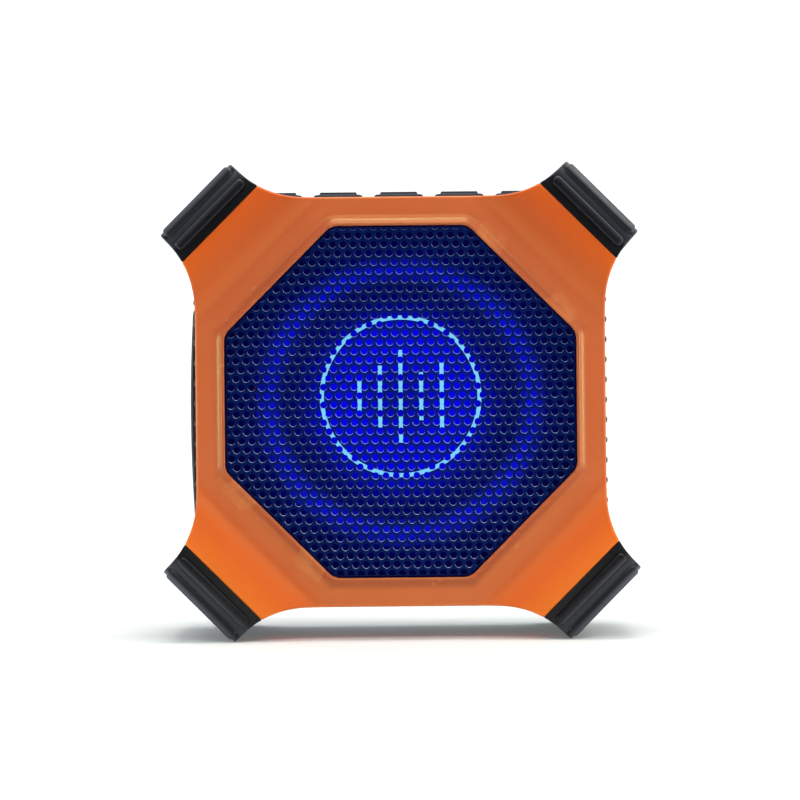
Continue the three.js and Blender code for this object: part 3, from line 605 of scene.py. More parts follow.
def grille_painted_glint():
    """Paler, glossier paint with a painted blue glow on the holes' lower chamfers: a painted glint."""
    n = Nodes("grille_painted_glint")
    fine = n.noise(2400, detail=2)
    tone = n.mix(n.spread(fine, 0.0, 1.0), (0.08, 0.11, 0.22), (0.13, 0.17, 0.32))
    n.feed(tone, "Base Color")
    n.feed(n.spread(fine, 0.2, 0.34), "Roughness")
    n.set(Specular_IOR_Level=0.9, Specular_Tint=(0.7, 0.85, 1.0, 1.0))
    n.feed(n.mix(glow(n, 1.0), (0.0, 0.01, 1.0), (0.05, 0.1, 1.0)), "Emission Color")
    n.feed(n.math("ADD", glow(n, 0.45), 0.008), "Emission Strength")
    return n.material


def metal(name, colour, roughness, stretch=(1, 1, 14)):
    """Bare or plated metal with a drawn grain."""
    n = Nodes(name)
    brushed = n.noise(900, detail=3, stretch=stretch)
    drift = n.noise(70, detail=3)
    tone = n.mix(n.spread(drift, 0, 1), tuple(c * 0.82 for c in colour), colour)
    n.surface(tone, n.spread(brushed, roughness - 0.08, roughness + 0.12), brushed, 0.00001)
    n.set(Metallic=1.0)
    return n.material


def ferrite():
    n = Nodes("ferrite")
    pits = n.noise(1500, detail=6)
    tone = n.mix(n.spread(pits, 0, 1), (0.018, 0.018, 0.02), (0.05, 0.05, 0.052))
    n.surface(tone, n.spread(pits, 0.55, 0.8), pits, 0.00006)
    return n.material


def spider_cloth():
    """Woven cloth stiffened with resin."""
    n = Nodes("spider_cloth")
    across, rise, _ = n.from_middle()
    warp = n.math("SINE", n.math("MULTIPLY", across, 12.0))
    weft = n.math("SINE", n.math("MULTIPLY", rise, 12.0))
    weave = n.math("MULTIPLY_ADD", n.math("MULTIPLY", warp, weft), 0.5, 0.5)
    tone = n.mix(weave, (0.2, 0.09, 0.02), (0.42, 0.22, 0.07))
    n.surface(tone, n.spread(n.noise(300), 0.6, 0.8), weave, 0.00008)
    n.set(Sheen_Weight=0.2)
    return n.material


WIRE_PITCH = 0.00025


def copper_wire():
    """Turns of enamelled wire, side by side along the coil's axis."""
    n = Nodes("copper_wire")
    turns = n.math("SINE", n.math("MULTIPLY", n.axis("Y"), TURN / WIRE_PITCH))
    tone = n.mix(n.spread(turns, 0, 1, -1, 1), (0.28, 0.07, 0.02), (0.62, 0.22, 0.08))
    n.feed(tone, "Base Color")
    n.feed(n.bump(turns, 0.00005), "Normal")
    n.set(Metallic=0.85, Roughness=0.3, Coat_Weight=0.4)
    return n.material


def circuit_board():
    """Green solder mask over copper tracks and pads."""
    n = Nodes("circuit_board")
    tracks = n.new("ShaderNodeTexBrick")
    sizes = {"Scale": 420.0, "Mortar Size": 0.09, "Brick Width": 0.9, "Row Height": 0.3}
    for key, value in sizes.items():
        tracks.inputs[key].default_value = value
    turned = n.new("ShaderNodeMapping")
    turned.inputs["Rotation"].default_value = (TURN / 4, 0, TURN / 8)
    n.link(n.place, turned.inputs["Vector"])
    n.link(turned.outputs["Vector"], tracks.inputs["Vector"])
    cells = n.new("ShaderNodeTexVoronoi")
    cells.inputs["Scale"].default_value = 420
    n.link(n.place, cells.inputs["Vector"])
    pads = n.math("LESS_THAN", cells.outputs["Distance"], 0.16)
    mask_tone = n.mix(tracks.outputs["Fac"], (0.004, 0.05, 0.022), (0.012, 0.11, 0.045))
    relief = n.math("ADD", tracks.outputs["Fac"], pads)
    tone = n.mix(pads, mask_tone, (0.6, 0.5, 0.3))
    n.surface(tone, n.spread(n.noise(500), 0.3, 0.42), relief, 0.00003)
    n.feed(n.math("MULTIPLY", pads, 0.8), "Metallic")
    return n.material


def cell_wrap():
    """Shrink sleeve with a pale band round it."""
    n = Nodes("cell_wrap")
    wrinkle = n.noise(420, detail=4, stretch=(1, 1, 0.15))
    bands = n.math("GREATER_THAN", n.noise(18, detail=0, stretch=(0.2, 0.2, 1)), 0.56)
    tone = n.mix(bands, (0.012, 0.09, 0.36), (0.02, 0.14, 0.52))
    n.surface(tone, n.spread(wrinkle, 0.25, 0.4), wrinkle, 0.00003)
    n.set(Coat_Weight=0.3, Coat_Roughness=0.15)
    return n.material


MOULDED = {  # colour, roughness, grain and its depth, tint, edge tone and its weight, gloss; the paler edge tone is partly wear, partly a painted highlight
    "grip_rubber": ((0.006, 0.007, 0.018), 0.4, 2200, 0.00004, 0.2, ((0.2, 0.21, 0.24), 0.45), 0.4),
    "button_rubber": ((0.004, 0.006, 0.02), 0.5, 3000, 0.00003, 0.15, ((0.03, 0.03, 0.045), 0.4), 0.25),
    "black_plastic": ((0.012, 0.013, 0.016), 0.5, 1500, 0.00009, 0.15, ((0.05, 0.052, 0.06), 0.4), 0.35),
    "seal_rubber": ((0.03, 0.032, 0.036), 0.6, 1800, 0.00006),
    "chip_case": ((0.012, 0.012, 0.014), 0.55, 3500, 0.00004),
    "lead_sleeve": ((0.36, 0.016, 0.014), 0.35, 1200, 0.00003),
    "mark_ink": ((0.32, 0.34, 0.36), 0.5, 2600, 0.00002),
}
FINISHES = {name: moulded(name, *row) for name, row in MOULDED.items()}
FINISHES |= {
    "orange_shell": orange_shell(),
    "bumper_rubber": bumper_rubber(),
    "grille_paint": grille_paint(),
    "grille_painted_glint": grille_painted_glint(),
    "diffuser": lit("diffuser", (0.01, 0.02, 0.3), 0.4, 0.9, lamps=12),
    "cone_paper": lit("cone_paper", (0.004, 0.006, 0.08), 0.6, 0.9, 700, 0.0001),
    "surround_rubber": lit("surround_rubber", (0.004, 0.005, 0.03), 0.5, 0.85),
    "lit_metal": lit("lit_metal", (0.006, 0.008, 0.04), 0.4, 0.85),
    "lit_baffle": lit("lit_baffle", (0.003, 0.004, 0.02), 0.6, 0.85, 1500, 0.00008),
    "spider_cloth": spider_cloth(),
    "steel": metal("steel", (0.56, 0.57, 0.59), 0.3),
    "socket_shell": metal("socket_shell", (0.66, 0.66, 0.64), 0.24, (14, 1, 1)),
    "ferrite": ferrite(),
    "copper_wire": copper_wire(),
    "circuit_board": circuit_board(),
    "cell_wrap": cell_wrap(),
}


# ---------- front bezel ----------


def octagon_radius(angle, apothem, rounding):
    """Distance from the middle to the round-cornered octagon, along an angle."""
    folded = angle % (TURN / 4)
    folded = min(folded, TURN / 4 - folded)
    centre = Vector((apothem - rounding, 0))
    centre.y = (apothem - CUT_IN - rounding) / DIAGONAL - centre.x
    foot = math.atan2(centre.y, apothem)
    head = centre + polar(rounding, TURN / 8)
    if folded <= foot:
        return apothem / math.cos(folded)
    if folded >= angle_of(head):
        return (apothem - CUT_IN) / math.cos(TURN / 8 - folded)
    along = centre.dot(polar(1, folded))
    return along + math.sqrt(rounding**2 - centre.length_squared + along**2)


def star_octant(inset, end):
    """The outline from the middle of the right side up to the first diagonal.

    Its number of points doesn't depend on the inset.
    """
    side, arm, radius = SIDE - inset, ARM_HALF - inset, FILLET + inset
    centre = Vector((side + radius, side - arm / DIAGONAL - radius * math.tan(TURN / 16)))
    along = (centre.x + centre.y) * DIAGONAL
    stop = TURN / 8 + math.acos((end - ARM_CORNER - along) / radius)
    flat = [Vector((side, centre.y * i / 50)) for i in range(50)]
    hollow = arc(centre, radius, TURN / 2, stop, 30)
    foot = hollow[-1]
    last = TURN / 8 + math.acos((end - along) / radius)
    tip = centre + polar(radius, last)
    half = (tip.x - tip.y) * DIAGONAL
    to_corner = Vector((1, -1)) * (half - ARM_CORNER)
    face = [(Vector((end, end)) + to_corner * (1 - i / 14)) * DIAGONAL for i in range(14)]
    corner = []
    for i in range(1, 5):
        t = i / 5
        corner.append(foot * (1 - t) ** 2 + tip * 2 * t * (1 - t) + face[0] * t**2)
    return flat + hollow + corner + face


def star(inset, end):
    """The whole outline: four arms, mirrored about each diagonal and each side."""
    octant = star_octant(inset, end)
    corner = Vector((end, end)) * DIAGONAL
    mirrored = [Vector((p.y, p.x)) for p in reversed(octant[1:])]
    quarter = octant + [corner] + mirrored
    points = []
    for k in range(4):
        turn = Matrix.Rotation(TURN * k / 4, 2)
        points += [turn @ p for p in quarter]
    return points


def band_height(p):
    """Height of the bezel's face: flat, then sweeping forward along each arm."""
    run = ARM_END - CREASE
    lean = 2 * math.atan(ARM_RISE / run)
    radius = run / math.sin(lean)
    away = min(max(ARM_END - (abs(p.x) + abs(p.y)) * DIAGONAL, 0), radius)
    rise = ARM_RISE - radius + math.sqrt(radius**2 - away**2)
    return BAND + (rise + math.sqrt(rise**2 + CREASE_SOFTNESS**2)) / 2


def front_bezel():
    """One closed skin, and a boss for each housing screw.

    The skin runs up inside the opening, over the lip, across the band and arms, down the skirt and
    back inside.
    """
    outer = star(0, ARM_END)
    angles = [angle_of(p) for p in outer]

    def octagon_ring(apothem, rounding=OPENING_CORNER):
        return [polar(octagon_radius(a, apothem, rounding), a) for a in angles]

    def level(points, height):
        return [at(p.x, p.y, height) for p in points]

    def over_band(points, drop=0.0):
        return [at(p.x, p.y, band_height(p) - drop) for p in points]

    rings = [level(octagon_ring(OPENING), h) for h in (BAND - WALL, BAND - 0.6, LIP_CREST - 1.1)]
    for i in range(7):
        t = TURN / 2 - (TURN / 4 + LIP_LEAN) * i / 6
        apothem = OPENING + LIP_ROUND + LIP_ROUND * math.cos(t)
        rings.append(level(octagon_ring(apothem), LIP_CREST - LIP_ROUND + LIP_ROUND * math.sin(t)))
    top = OPENING + LIP_ROUND + LIP_ROUND * math.sin(LIP_LEAN)
    top_height = LIP_CREST - LIP_ROUND + LIP_ROUND * math.cos(LIP_LEAN)
    foot = top + LIP_RUN
    for i in range(1, 13):
        t = i / 12
        slope = octagon_ring(top + (foot - top) * t, OPENING_CORNER + t * 1.5)
        rings.append(level(slope, BAND + (top_height - BAND) * (1 - t) ** 2))
    start = octagon_ring(foot + 0.5, 6.8)
    stop = star(EDGE, ARM_END - EDGE)
    steps = 26
    for i in range(steps + 1):
        rings.append(over_band([a.lerp(b, i / steps) for a, b in zip(start, stop)]))
    heights = [band_height(p) for p in stop]
    for i in range(1, 6):
        t = TURN / 4 * i / 5
        inset = EDGE * (1 - math.sin(t))
        ring = star(inset, ARM_END - inset)
        rings.append([at(p.x, p.y, h - EDGE * (1 - math.cos(t))) for p, h in zip(ring, heights)])
    skirt_end = SKIRT + SKIRT_BEVEL
    for t in (0.35, 0.7):
        falls = [(h - EDGE) * (1 - t) + skirt_end * t for h in heights]
        rings.append([at(p.x, p.y, h) for p, h in zip(outer, falls)])
    rings.append(level(outer, skirt_end))
    rings.append(level(star(SKIRT_BEVEL, ARM_END - SKIRT_BEVEL), SKIRT))
    inner = star(WALL, ARM_END - WALL)
    rings.append(level(inner, SKIRT))
    rings.append(over_band(inner, WALL + 0.4))
    under = octagon_ring(OPENING + 1.6)
    for i in range(1, 8):
        rings.append(over_band([a.lerp(b, i / 7) for a, b in zip(inner, under)], WALL))
    shell = Shell()
    shell.tube_loft(rings)
    boss = [(1.7, BOSS_BACK), (3.2, BOSS_BACK), (3.4, BOSS_BACK + 0.2)]
    boss += [(3.4, BAND - 1.2), (1.7, BAND - 1.2)]
    for k in range(4):
        post = polar(POST, TURN * (k + 0.5) / 4)
        shell.turned(boss, lambda x, y, h, post=post: at(post.x + x, post.y + y, h), 32)
    finish = FINISHES["orange_shell"]
    shell.piece("bezel_shell", finish, "speaker_body", "orange_shell", ["front_bezel"], 50)


# ---------- grille ----------


def hole_centre(row, i):
    """Every second row is moved by half a pitch."""
    return Vector(((i + (row % 2) / 2) * HOLE_PITCH, FIRST_ROW + row * ROW_PITCH))


def nearest_centre(p):
    row = round((p.y - FIRST_ROW) / ROW_PITCH)
    rows = (row - 1, row, row + 1)
    near = [hole_centre(r, round(p.x / HOLE_PITCH - (r % 2) / 2)) for r in rows]
    return min(near, key=lambda centre: (p - centre).length)


def perforated_face(outline, radius):
    """Flat triangles of the sheet between the holes, as points and faces."""
    reach = math.ceil(GRILLE / ROW_PITCH)
    columns = math.ceil(GRILLE / HOLE_PITCH) + 3
    points = [p.copy() for p in outline]
    polygons = [list(range(len(outline)))]
    for row in range(-reach - 1, reach + 1):
        for i in range(-columns, columns):
            centre = hole_centre(row, i)
            if centre.length >= octagon_radius(angle_of(centre), GRILLE_FLAT + radius * 0.85, 4.0):
                continue
            start = len(points)
            points += [centre + polar(radius, TURN * (k + 0.5) / HOLE_SIDES) for k in range(HOLE_SIDES)]
            polygons.append(list(range(start, start + HOLE_SIDES)))
    made, _, faces, _, _, owners = delaunay_2d_cdt(points, [], polygons, 1, 1e-5)
    kept = [f for f, owner in zip(faces, owners) if list(owner) == [0]]
    return made, kept


def front_grille():
    """A pressed pan of perforated sheet.

    Every hole is cut through, with a small chamfer; on its lower part the chamfer takes a paler,
    glossier, glowing finish, a painted glint.
    """
    angles = [TURN * i / 720 for i in range(720)]
    outline = [polar(octagon_radius(a, GRILLE_FLAT, FLAT_CORNER), a) for a in angles]
    mouth = HOLE + HOLE_CHAMFER
    face, kept = perforated_face(outline, mouth)
    on_rim = []
    for p in face:
        edge = octagon_radius(angle_of(p), GRILLE_FLAT, FLAT_CORNER)
        on_rim.append(abs(p.length - edge) < 0.02)
    on_hole = [abs((p - nearest_centre(p)).length - mouth) < 0.02 for p in face]

    def shrunk(i):
        if not on_hole[i] or on_rim[i]:
            return face[i]
        centre = nearest_centre(face[i])
        return centre + (face[i] - centre) * (HOLE / mouth)

    shell = Shell()
    front = shell.ring([at(p.x, p.y, GRILLE_FACE) for p in face])
    throat = shell.ring([at(*shrunk(i), GRILLE_FACE - HOLE_CHAMFER) for i in range(len(face))])
    back = shell.ring([at(*shrunk(i), GRILLE_FACE - SHEET) for i in range(len(face))])
    edges = {}
    for f in kept:
        shell.faces.append(tuple(front[i] for i in f))
        shell.faces.append(tuple(back[i] for i in reversed(f)))
        for a, b in zip(f, f[1:] + f[:1]):
            edges[(a, b)] = True
    painted_glint_edges = []
    for a, b in edges:
        if (b, a) in edges or (on_rim[a] and on_rim[b]):
            continue
        # Painted glint: only the lower chamfers take the paler, glossier, glowing finish.
        if (face[a] - nearest_centre(face[a])).y < -0.3 * mouth:
            painted_glint_edges.append(len(shell.faces))
        shell.faces.append((front[b], front[a], throat[a], throat[b]))
        shell.faces.append((throat[b], throat[a], back[a], back[b]))

    def bend(radius, face_height, steps):
        for i in steps:
            t = TURN / 4 * i / 6
            out = radius * math.sin(t)
            yield GRILLE_FLAT + out, FLAT_CORNER + out, face_height - radius * (1 - math.cos(t))

    stations = [
        *bend(GRILLE_BEND, GRILLE_FACE, range(7)),
        (GRILLE, 5.0, GRILLE_LOW.z),
        (GRILLE - SHEET, 4.2, GRILLE_LOW.z),
        *bend(GRILLE_BEND - SHEET, GRILLE_FACE - SHEET, range(6, -1, -1)),
    ]
    rings = []
    for apothem, rounding, height in stations:
        rim = [polar(octagon_radius(a, apothem, rounding), a) for a in angles]
        rings.append([at(p.x, p.y, height) for p in rim])
    shell.loft(rings, caps=False)
    finish = FINISHES["grille_paint"]
    grille = shell.piece("grille_sheet", finish, "speaker_body", "grille_paint", ["front_grille"], 28)
    second_finish(grille, FINISHES["grille_painted_glint"], painted_glint_edges)


# ---------- bumpers ----------


def rib_rings(rise):
    """Rings of a rib with rounded ends and crest, as (points, height)."""
    outline = inset_rectangle(RIB_HALF, RIB_WIDTH / 2, 1.25, 5)
    rings = [(outline(-0.12), -0.6), (outline(-0.1), 0.0), (outline(0.0), 0.25)]
    return rings + [(outline(inset), height) for inset, height in edge_steps(0.75, 0.0, rise, 5)]


def rib_places():
    """Place along the diagonal, forward place, lean and rise of each rib, from front to back."""
    core = Vector((BUMPER_END - BUMPER_ROUND, BUMPER_DEEP - BUMPER_ROUND))
    places = [(BUMPER_END, 0.0, 0.0, OUTER_RIB_RISE)]
    for side in (1, -1):
        places.append((FLAT_RIB, side * BUMPER_DEEP, side * TURN / 4, RIB_RISE))
        places.append((core.x, side * core.y, side * EDGE_RIB_LEAN, BUMPER_ROUND + OUTER_RIB_RISE))
        places += [(BUMPER_END, side * w, 0.0, OUTER_RIB_RISE) for w in OUTER_RIBS]
    return places


def bumper_half(s):
    """Half the bumper's width: it follows the casing's hollow, then runs straight."""
    radius = FILLET
    centre = Vector((SIDE + radius, SIDE - ARM_HALF / DIAGONAL - radius * math.tan(TURN / 16)))
    along, across = (centre.x + centre.y) * DIAGONAL, (centre.x - centre.y) * DIAGONAL
    return across - math.sqrt(radius**2 - (s - along) ** 2) if s < along else ARM_HALF


def bumper_body():
    """The cap in local axes: x across the diagonal, y forward, z outwards along it."""

    def profile(inset):
        low, high = BUMPER_START + inset * 0.4, BUMPER_END - inset
        deep, radius = BUMPER_DEEP - inset, BUMPER_ROUND - inset * 0.6
        points = [Vector((s, -deep)) for s in spaced(low, high - radius, 14)]
        points += arc((high - radius, radius - deep), radius, -TURN / 4, 0, 10)
        points += [Vector((high, w)) for w in spaced(radius - deep, deep - radius, 6)[1:-1]]
        points += arc((high - radius, deep - radius), radius, 0, TURN / 4, 10)
        return points + [Vector((s, deep)) for s in spaced(high - radius, low, 14)[1:]]

    left = []
    for i in range(6):
        t = TURN / 4 * i / 5
        across = BUMPER_CORNER * (1 - math.cos(t))
        points = profile(BUMPER_CORNER * (1 - math.sin(t)))
        left.append([Vector((across - bumper_half(p.x), p.y, p.x)) for p in points])
    right = [[Vector((-p.x, p.y, p.z)) for p in ring] for ring in reversed(left)]
    shell = Shell()
    shell.loft(left + right)
    return shell


def bumpers():
    """The same cap, with its hollow and its ribs, turned to each corner."""
    solid = bumper_body()
    base = mesh_object("bumper_base", solid.points, solid.faces)
    wide, back, front, end = POCKET
    corners = ((-wide, back), (wide, back), (wide, front), (-wide, front))
    hollow = Shell()
    hollow.loft([[Vector((x, y, z)) for x, y in corners] for z in (ARM_END - 2, end)])
    pocket = mesh_object("bumper_pocket", hollow.points, hollow.faces)
    cut = base.modifiers.new("pocket", "BOOLEAN")
    cut.operation = "DIFFERENCE"
    cut.object = pocket
    cut.solver = "EXACT"
    depsgraph = bpy.context.evaluated_depsgraph_get()
    body = bpy.data.meshes.new_from_object(base.evaluated_get(depsgraph))
    bpy.data.objects.remove(pocket)
    bpy.data.objects.remove(base)
    shell = Shell()
    shell.points = [v.co.copy() for v in body.vertices]
    shell.faces = [tuple(f.vertices) for f in body.polygons]
    for s, w, lean, rise in rib_places():
        up = Vector((0, math.sin(lean), math.cos(lean)))
        along = Vector((0, math.cos(lean), -math.sin(lean)))
        foot = Vector((0, w, s))
        rings = []
        for ring, h in rib_rings(rise):
            rings.append([foot + Vector((p.x, 0, 0)) + along * p.y + up * h for p in ring])
        shell.loft(rings)

    finish = FINISHES["bumper_rubber"]
    for k, corner in enumerate(CORNERS):
        outwards = polar(1, TURN * (k + 0.5) / 4)
        sideways = polar(1, TURN * (k - 0.5) / 4)
        points = []
        for local in shell.points:
            p = outwards * local.z + sideways * local.x
            place = zip((p.x, p.y, local.y), BUMPER_REACH)
            points.append(at(*(max(-reach, min(reach, c)) for c, reach in place)))
        name, nodes = f"bumper_cap_{corner}", [f"bumper_{corner}"]
        mesh_piece(name, points, shell.faces, finish, "speaker_body", nodes, 32)


# ---------- sides ----------


def side_grip(name, side, node):
    """A rubber strip with domed studs."""
    low, high = face_box(node)
    plate_back, tip = sorted((abs(low.x), abs(high.x)))
    half_v, half_w = (high.y - low.y) / 2, (high.z - low.z) / 2
    mid_v, mid_w = (high.y + low.y) / 2, (high.z + low.z) / 2
    outline = inset_rectangle(half_v, half_w, 1.6)

    def place(a, b, height):
        return at(side * height, mid_v + a, mid_w + b)

    shell = Shell()
    stations = [(0.0, plate_back), *edge_steps(0.35, 0.0, GRIP_PLATE)]
    shell.loft([[place(p.x, p.y, h) for p in outline(inset)] for inset, h in stations])
    rise = tip - GRIP_PLATE
    foot, neck = STUD_RADIUS + 0.25, STUD_RADIUS * 0.93
    dome = [(0, -0.5), (foot, -0.5), (foot, 0.0), (STUD_RADIUS, 0.18), (neck, rise * 0.5)]
    for i in range(1, 5):
        t = TURN / 4 * i / 5
        dome.append((neck * math.cos(t), rise * (0.5 + 0.5 * math.sin(t))))
    dome.append((0, rise))
    depth = high.z - low.z
    rows = round((depth - 2) / STUD_PITCH) if depth > 8 else 1
    for row in range(rows):
        w = high.z - 2.6 - row * STUD_PITCH
        for i in range(STUDS_HIGH):
            v = (i - STUDS_HIGH // 2) * STUD_PITCH
            stud = lambda x, y, h, v=v, w=w: at(side * (GRIP_PLATE + h), v + x, w + y)
            shell.turned(dome, stud, 18)
    shell.piece(name, FINISHES["grip_rubber"], "speaker_body", "bumper_rubber", [node], 45)


def port_door():
    """A crowned rubber cover with grip ridges, a plug inside and a knuckle along its back edge."""
    mid_v = (DOOR_LOW.y + DOOR_HIGH.y) / 2
    half_v = (DOOR_HIGH.y - DOOR_LOW.y) / 2
    front = DOOR_HIGH.z
    mid_w, half_w = (DOOR_BACK + front) / 2, (front - DOOR_BACK) / 2
    outer = 0.25 - DOOR_LOW.x
    plain_outline = inset_rectangle(half_v, half_w, 3.0, 8)

    def outline(inset):
        """The rounded rectangle with points along its two long sides, so that they can bow."""
        points, finer = plain_outline(inset), []
        for i, p in enumerate(points):
            following = points[(i + 1) % len(points)]
            count = 16 if abs(p.x - following.x) > 10 else 1
            finer += [p.lerp(following, k / count) for k in range(count)]
        return finer

    def level(points, height, w):
        return [at(-height, mid_v + p.x, w + p.y) for p in points]

    def crowned(p, height):
        fall = DOOR_CROWN * (p.x / half_v) ** 2
        return at(-(height - fall), mid_v + p.x, mid_w + p.y)

    shell = Shell()
    rings = [level(outline(0.4), DOOR_INNER, mid_w), level(outline(0.0), DOOR_INNER + 0.4, mid_w)]
    groove = [(2.2, 0.0), (2.5, 0.28), (3.1, 0.28), (3.4, 0.0), (6.0, 0.0), (8.5, 0.0)]
    stations = edge_steps(DOOR_EDGE, 0.0, outer, 6)
    stations += [(inset, outer - depth) for inset, depth in groove]
    stations.append((half_w - 0.6, outer))
    for inset, height in stations:
        rings.append([crowned(p, height) for p in outline(inset)])
    shell.loft(rings)

    plug_w, plug_deep = (PLUG_BACK + PLUG_FRONT) / 2, (PLUG_FRONT - PLUG_BACK) / 2
    plug = inset_rectangle(PLUG_HALF, plug_deep, 2.0)
    stations = [(0.0, DOOR_INNER + 0.3), (0.0, PLUG_FACE + 0.3), (0.3, PLUG_FACE)]
    stations += [(1.7, PLUG_FACE), (2.0, PLUG_FACE + 1)]
    shell.loft([level(plug(inset), h, plug_w) for inset, h in stations])

    knuckle = [(0.95, -half_v), (1.4, -half_v), (1.7, -half_v + 0.3)]
    knuckle += [(1.7, half_v - 0.3), (1.4, half_v), (0.95, half_v)]
    shell.turned(knuckle, lambda x, y, h: at(HINGE_U + x, mid_v + h, HINGE_W + y), 32)
    web = inset_rectangle(half_v - 0.1, 1.5, 0.4)(0)
    shell.loft([level(web, h, HINGE_W + 1.4) for h in (DOOR_INNER + 0.1, DOOR_INNER + 2.6)])

    ridge = bar(9.0, 0.7)
    for i in range(5):
        away = front - 2.0 - i * 1.1 - mid_w
        lifted = [Vector((p.x, p.y + away)) for p in ridge]
        shell.loft([[crowned(p, outer + h) for p in lifted] for h in (-0.3, 0.0)])
    shell.piece("door_cover", FINISHES["grip_rubber"], "door", "bumper_rubber", ["port_door"], 40)


# ---------- buttons ----------


def icon_outlines(name):
    """Raised marks, as outlines round the middle of the button."""
    if name == "volume_down":
        return [bar(4.6, 0.9)]
    if name == "volume_up":
        return [bar(4.6, 0.9), *(bar(1.86, 0.9, TURN / 4, (0, y)) for y in (1.38, -1.38))]
    if name == "play":
        triangle = [Vector((-2.6, 1.9)), Vector((-2.6, -1.9)), Vector((0.7, 0))]
        return [triangle, *(bar(3.8, 0.85, TURN / 4, (x, 0)) for x in (1.5, 2.9))]
    if name == "power":
        gap = math.radians(38)
        outer = arc((0, -0.2), 2.3, TURN / 4 + gap, TURN * 5 / 4 - gap, 28)
        inner = arc((0, -0.2), 1.55, TURN * 5 / 4 - gap, TURN / 4 + gap, 28)
        return [outer + inner, bar(2.5, 0.8, TURN / 4, (0, 1.3))]
    rays = [bar(1.2, 0.55, TURN * i / 8, polar(2.3, TURN * i / 8)) for i in range(8)]
    return [arc((0, 0), 1.2, 0, TURN * 23 / 24, 23), *rays]


def top_button(name):
    """Two tiers with rounded shoulders, a shallow dish on top and a raised mark."""
    low, high = face_box(f"{name}_button")
    half_u, half_w = (high.x - low.x) / 2, (high.z - low.z) / 2
    mid_u, mid_w = (high.x + low.x) / 2, (high.z + low.z) / 2
    top, shoulder = high.y, high.y - 0.8
    foot = low.y + 2.3
    outline = inset_rectangle(half_u, half_w, 2.4, 8)

    def place(p, height):
        return at(mid_u + p.x, height, mid_w - p.y)

    stations = [(0.0, foot), *edge_steps(0.9, 0.0, shoulder, 6), (1.55, shoulder)]
    stations += [(1.75, shoulder + 0.12), (1.9, shoulder + 0.3), *edge_steps(0.35, 1.95, top, 4)]
    stations += [(3.0, top - 0.02), (4.2, top - 0.08), (5.6, top - 0.12)]
    shell = Shell()
    shell.loft([[place(p, h) for p in outline(inset)] for inset, h in stations])
    plunger = [(0, low.y), (2.0, low.y), (2.1, low.y + 0.1), (2.1, foot + 0.5), (0, foot + 0.5)]
    shell.turned(plunger, lambda x, y, h: at(mid_u + x, h, mid_w + y), 28)
    body, finish = f"{name}_button_body", FINISHES["button_rubber"]
    shell.piece(f"{name}_cap", finish, body, "button_rubber", [f"{name}_button"], 42)

    mark = Shell()
    for outline_points in icon_outlines(name):
        mark.loft([[place(p, h) for p in outline_points] for h in (top - 0.3, top - 0.01)])
    mark.piece(f"{name}_mark", FINISHES["mark_ink"], body, "button_rubber")


# ---------- back ----------


def screw(name, node):
    """A pan-head screw with a hexagon socket and a thread, its head to the back."""
    low, high = face_box(node)
    mid = (low + high) / 2
    radius = (high.x - low.x) / 2
    back, shoulder, tip = low.z, low.z + 2.1, high.z
    count = 36

    angles = [TURN * i / count for i in range(count)]

    def placed(points, w):
        return [at(mid.x + p.x, mid.y + p.y, w) for p in points]

    def ring(r, w):
        return placed([polar(r, a) for a in angles], w)

    def hexagon(apothem, w):
        off = [abs((a + TURN / 12) % (TURN / 6) - TURN / 12) for a in angles]
        return placed([polar(apothem / math.cos(o), a) for o, a in zip(off, angles)], w)

    rings = [hexagon(1.2, back + 1.3), hexagon(1.3, back + 0.25), hexagon(1.42, back + 0.12)]
    rings += [ring(radius * 0.8, back), ring(radius * 0.94, back + 0.25), ring(radius, back + 0.8)]
    rings += [ring(radius, shoulder), ring(1.4, shoulder)]
    pitch = 0.8
    turns = int((tip - shoulder) / pitch)
    for i in range(turns):
        w = shoulder + 0.2 + i * pitch
        rings += [ring(1.2, w), ring(1.4, w + pitch * 0.4), ring(1.4, w + pitch * 0.5)]
    rings.append(ring(0.8, tip))
    shell = Shell()
    shell.loft(rings)
    shell.piece(name, FINISHES["steel"], "speaker_body", "steel", [node], 40)


# ---------- CAD pieces that stay ----------


def soften(node, width):
    """Rounds a carried-over CAD node's edges, without touching its mesh."""
    piece = frame["nodes"][node]
    smooth(piece.data, 25)
    flat = piece.modifiers.new("flatten", "DECIMATE")
    flat.decimate_type = "DISSOLVE"
    flat.angle_limit = math.radians(1.0)
    bevel = piece.modifiers.new("edges", "BEVEL")
    bevel.width = width * MM
    bevel.segments = 2
    bevel.limit_method = "ANGLE"
    bevel.angle_limit = math.radians(30)
    bevel.harden_normals = True


OTHER_FINISHES = {
    "baffle": "lit_baffle",
    "driver_gasket": "lit_baffle",
    "driver_basket": "lit_metal",
    "radiator_surround": "seal_rubber",
}
OTHER_FINISHES |= {f"driver_screw_{place}": "lit_metal" for place in ("top", "left", "bottom", "right")}


def dress_cad_nodes():
    """Every CAD node takes its slot's finish, apart from those that the blue light reaches."""
    for row in frame["record"]["subparts"]:
        node = frame["nodes"][row["node"]]
        finish = FINISHES[OTHER_FINISHES.get(row["node"], row["material_slot"])]
        node.data.materials.clear()
        node.data.materials.append(finish)
        smooth(node.data, 30)


# ---------- studio ----------


FLOOR_HALF = 2.5
FLOOR_FRONT = -2.4
WALL_AT = 1.6
WALL_TOP = 2.2
SWEEP = 0.5  # radius between floor and wall
GREY_TO_WHITE = (-0.6, -0.33)  # the floor darkens in front of the speaker, out of view


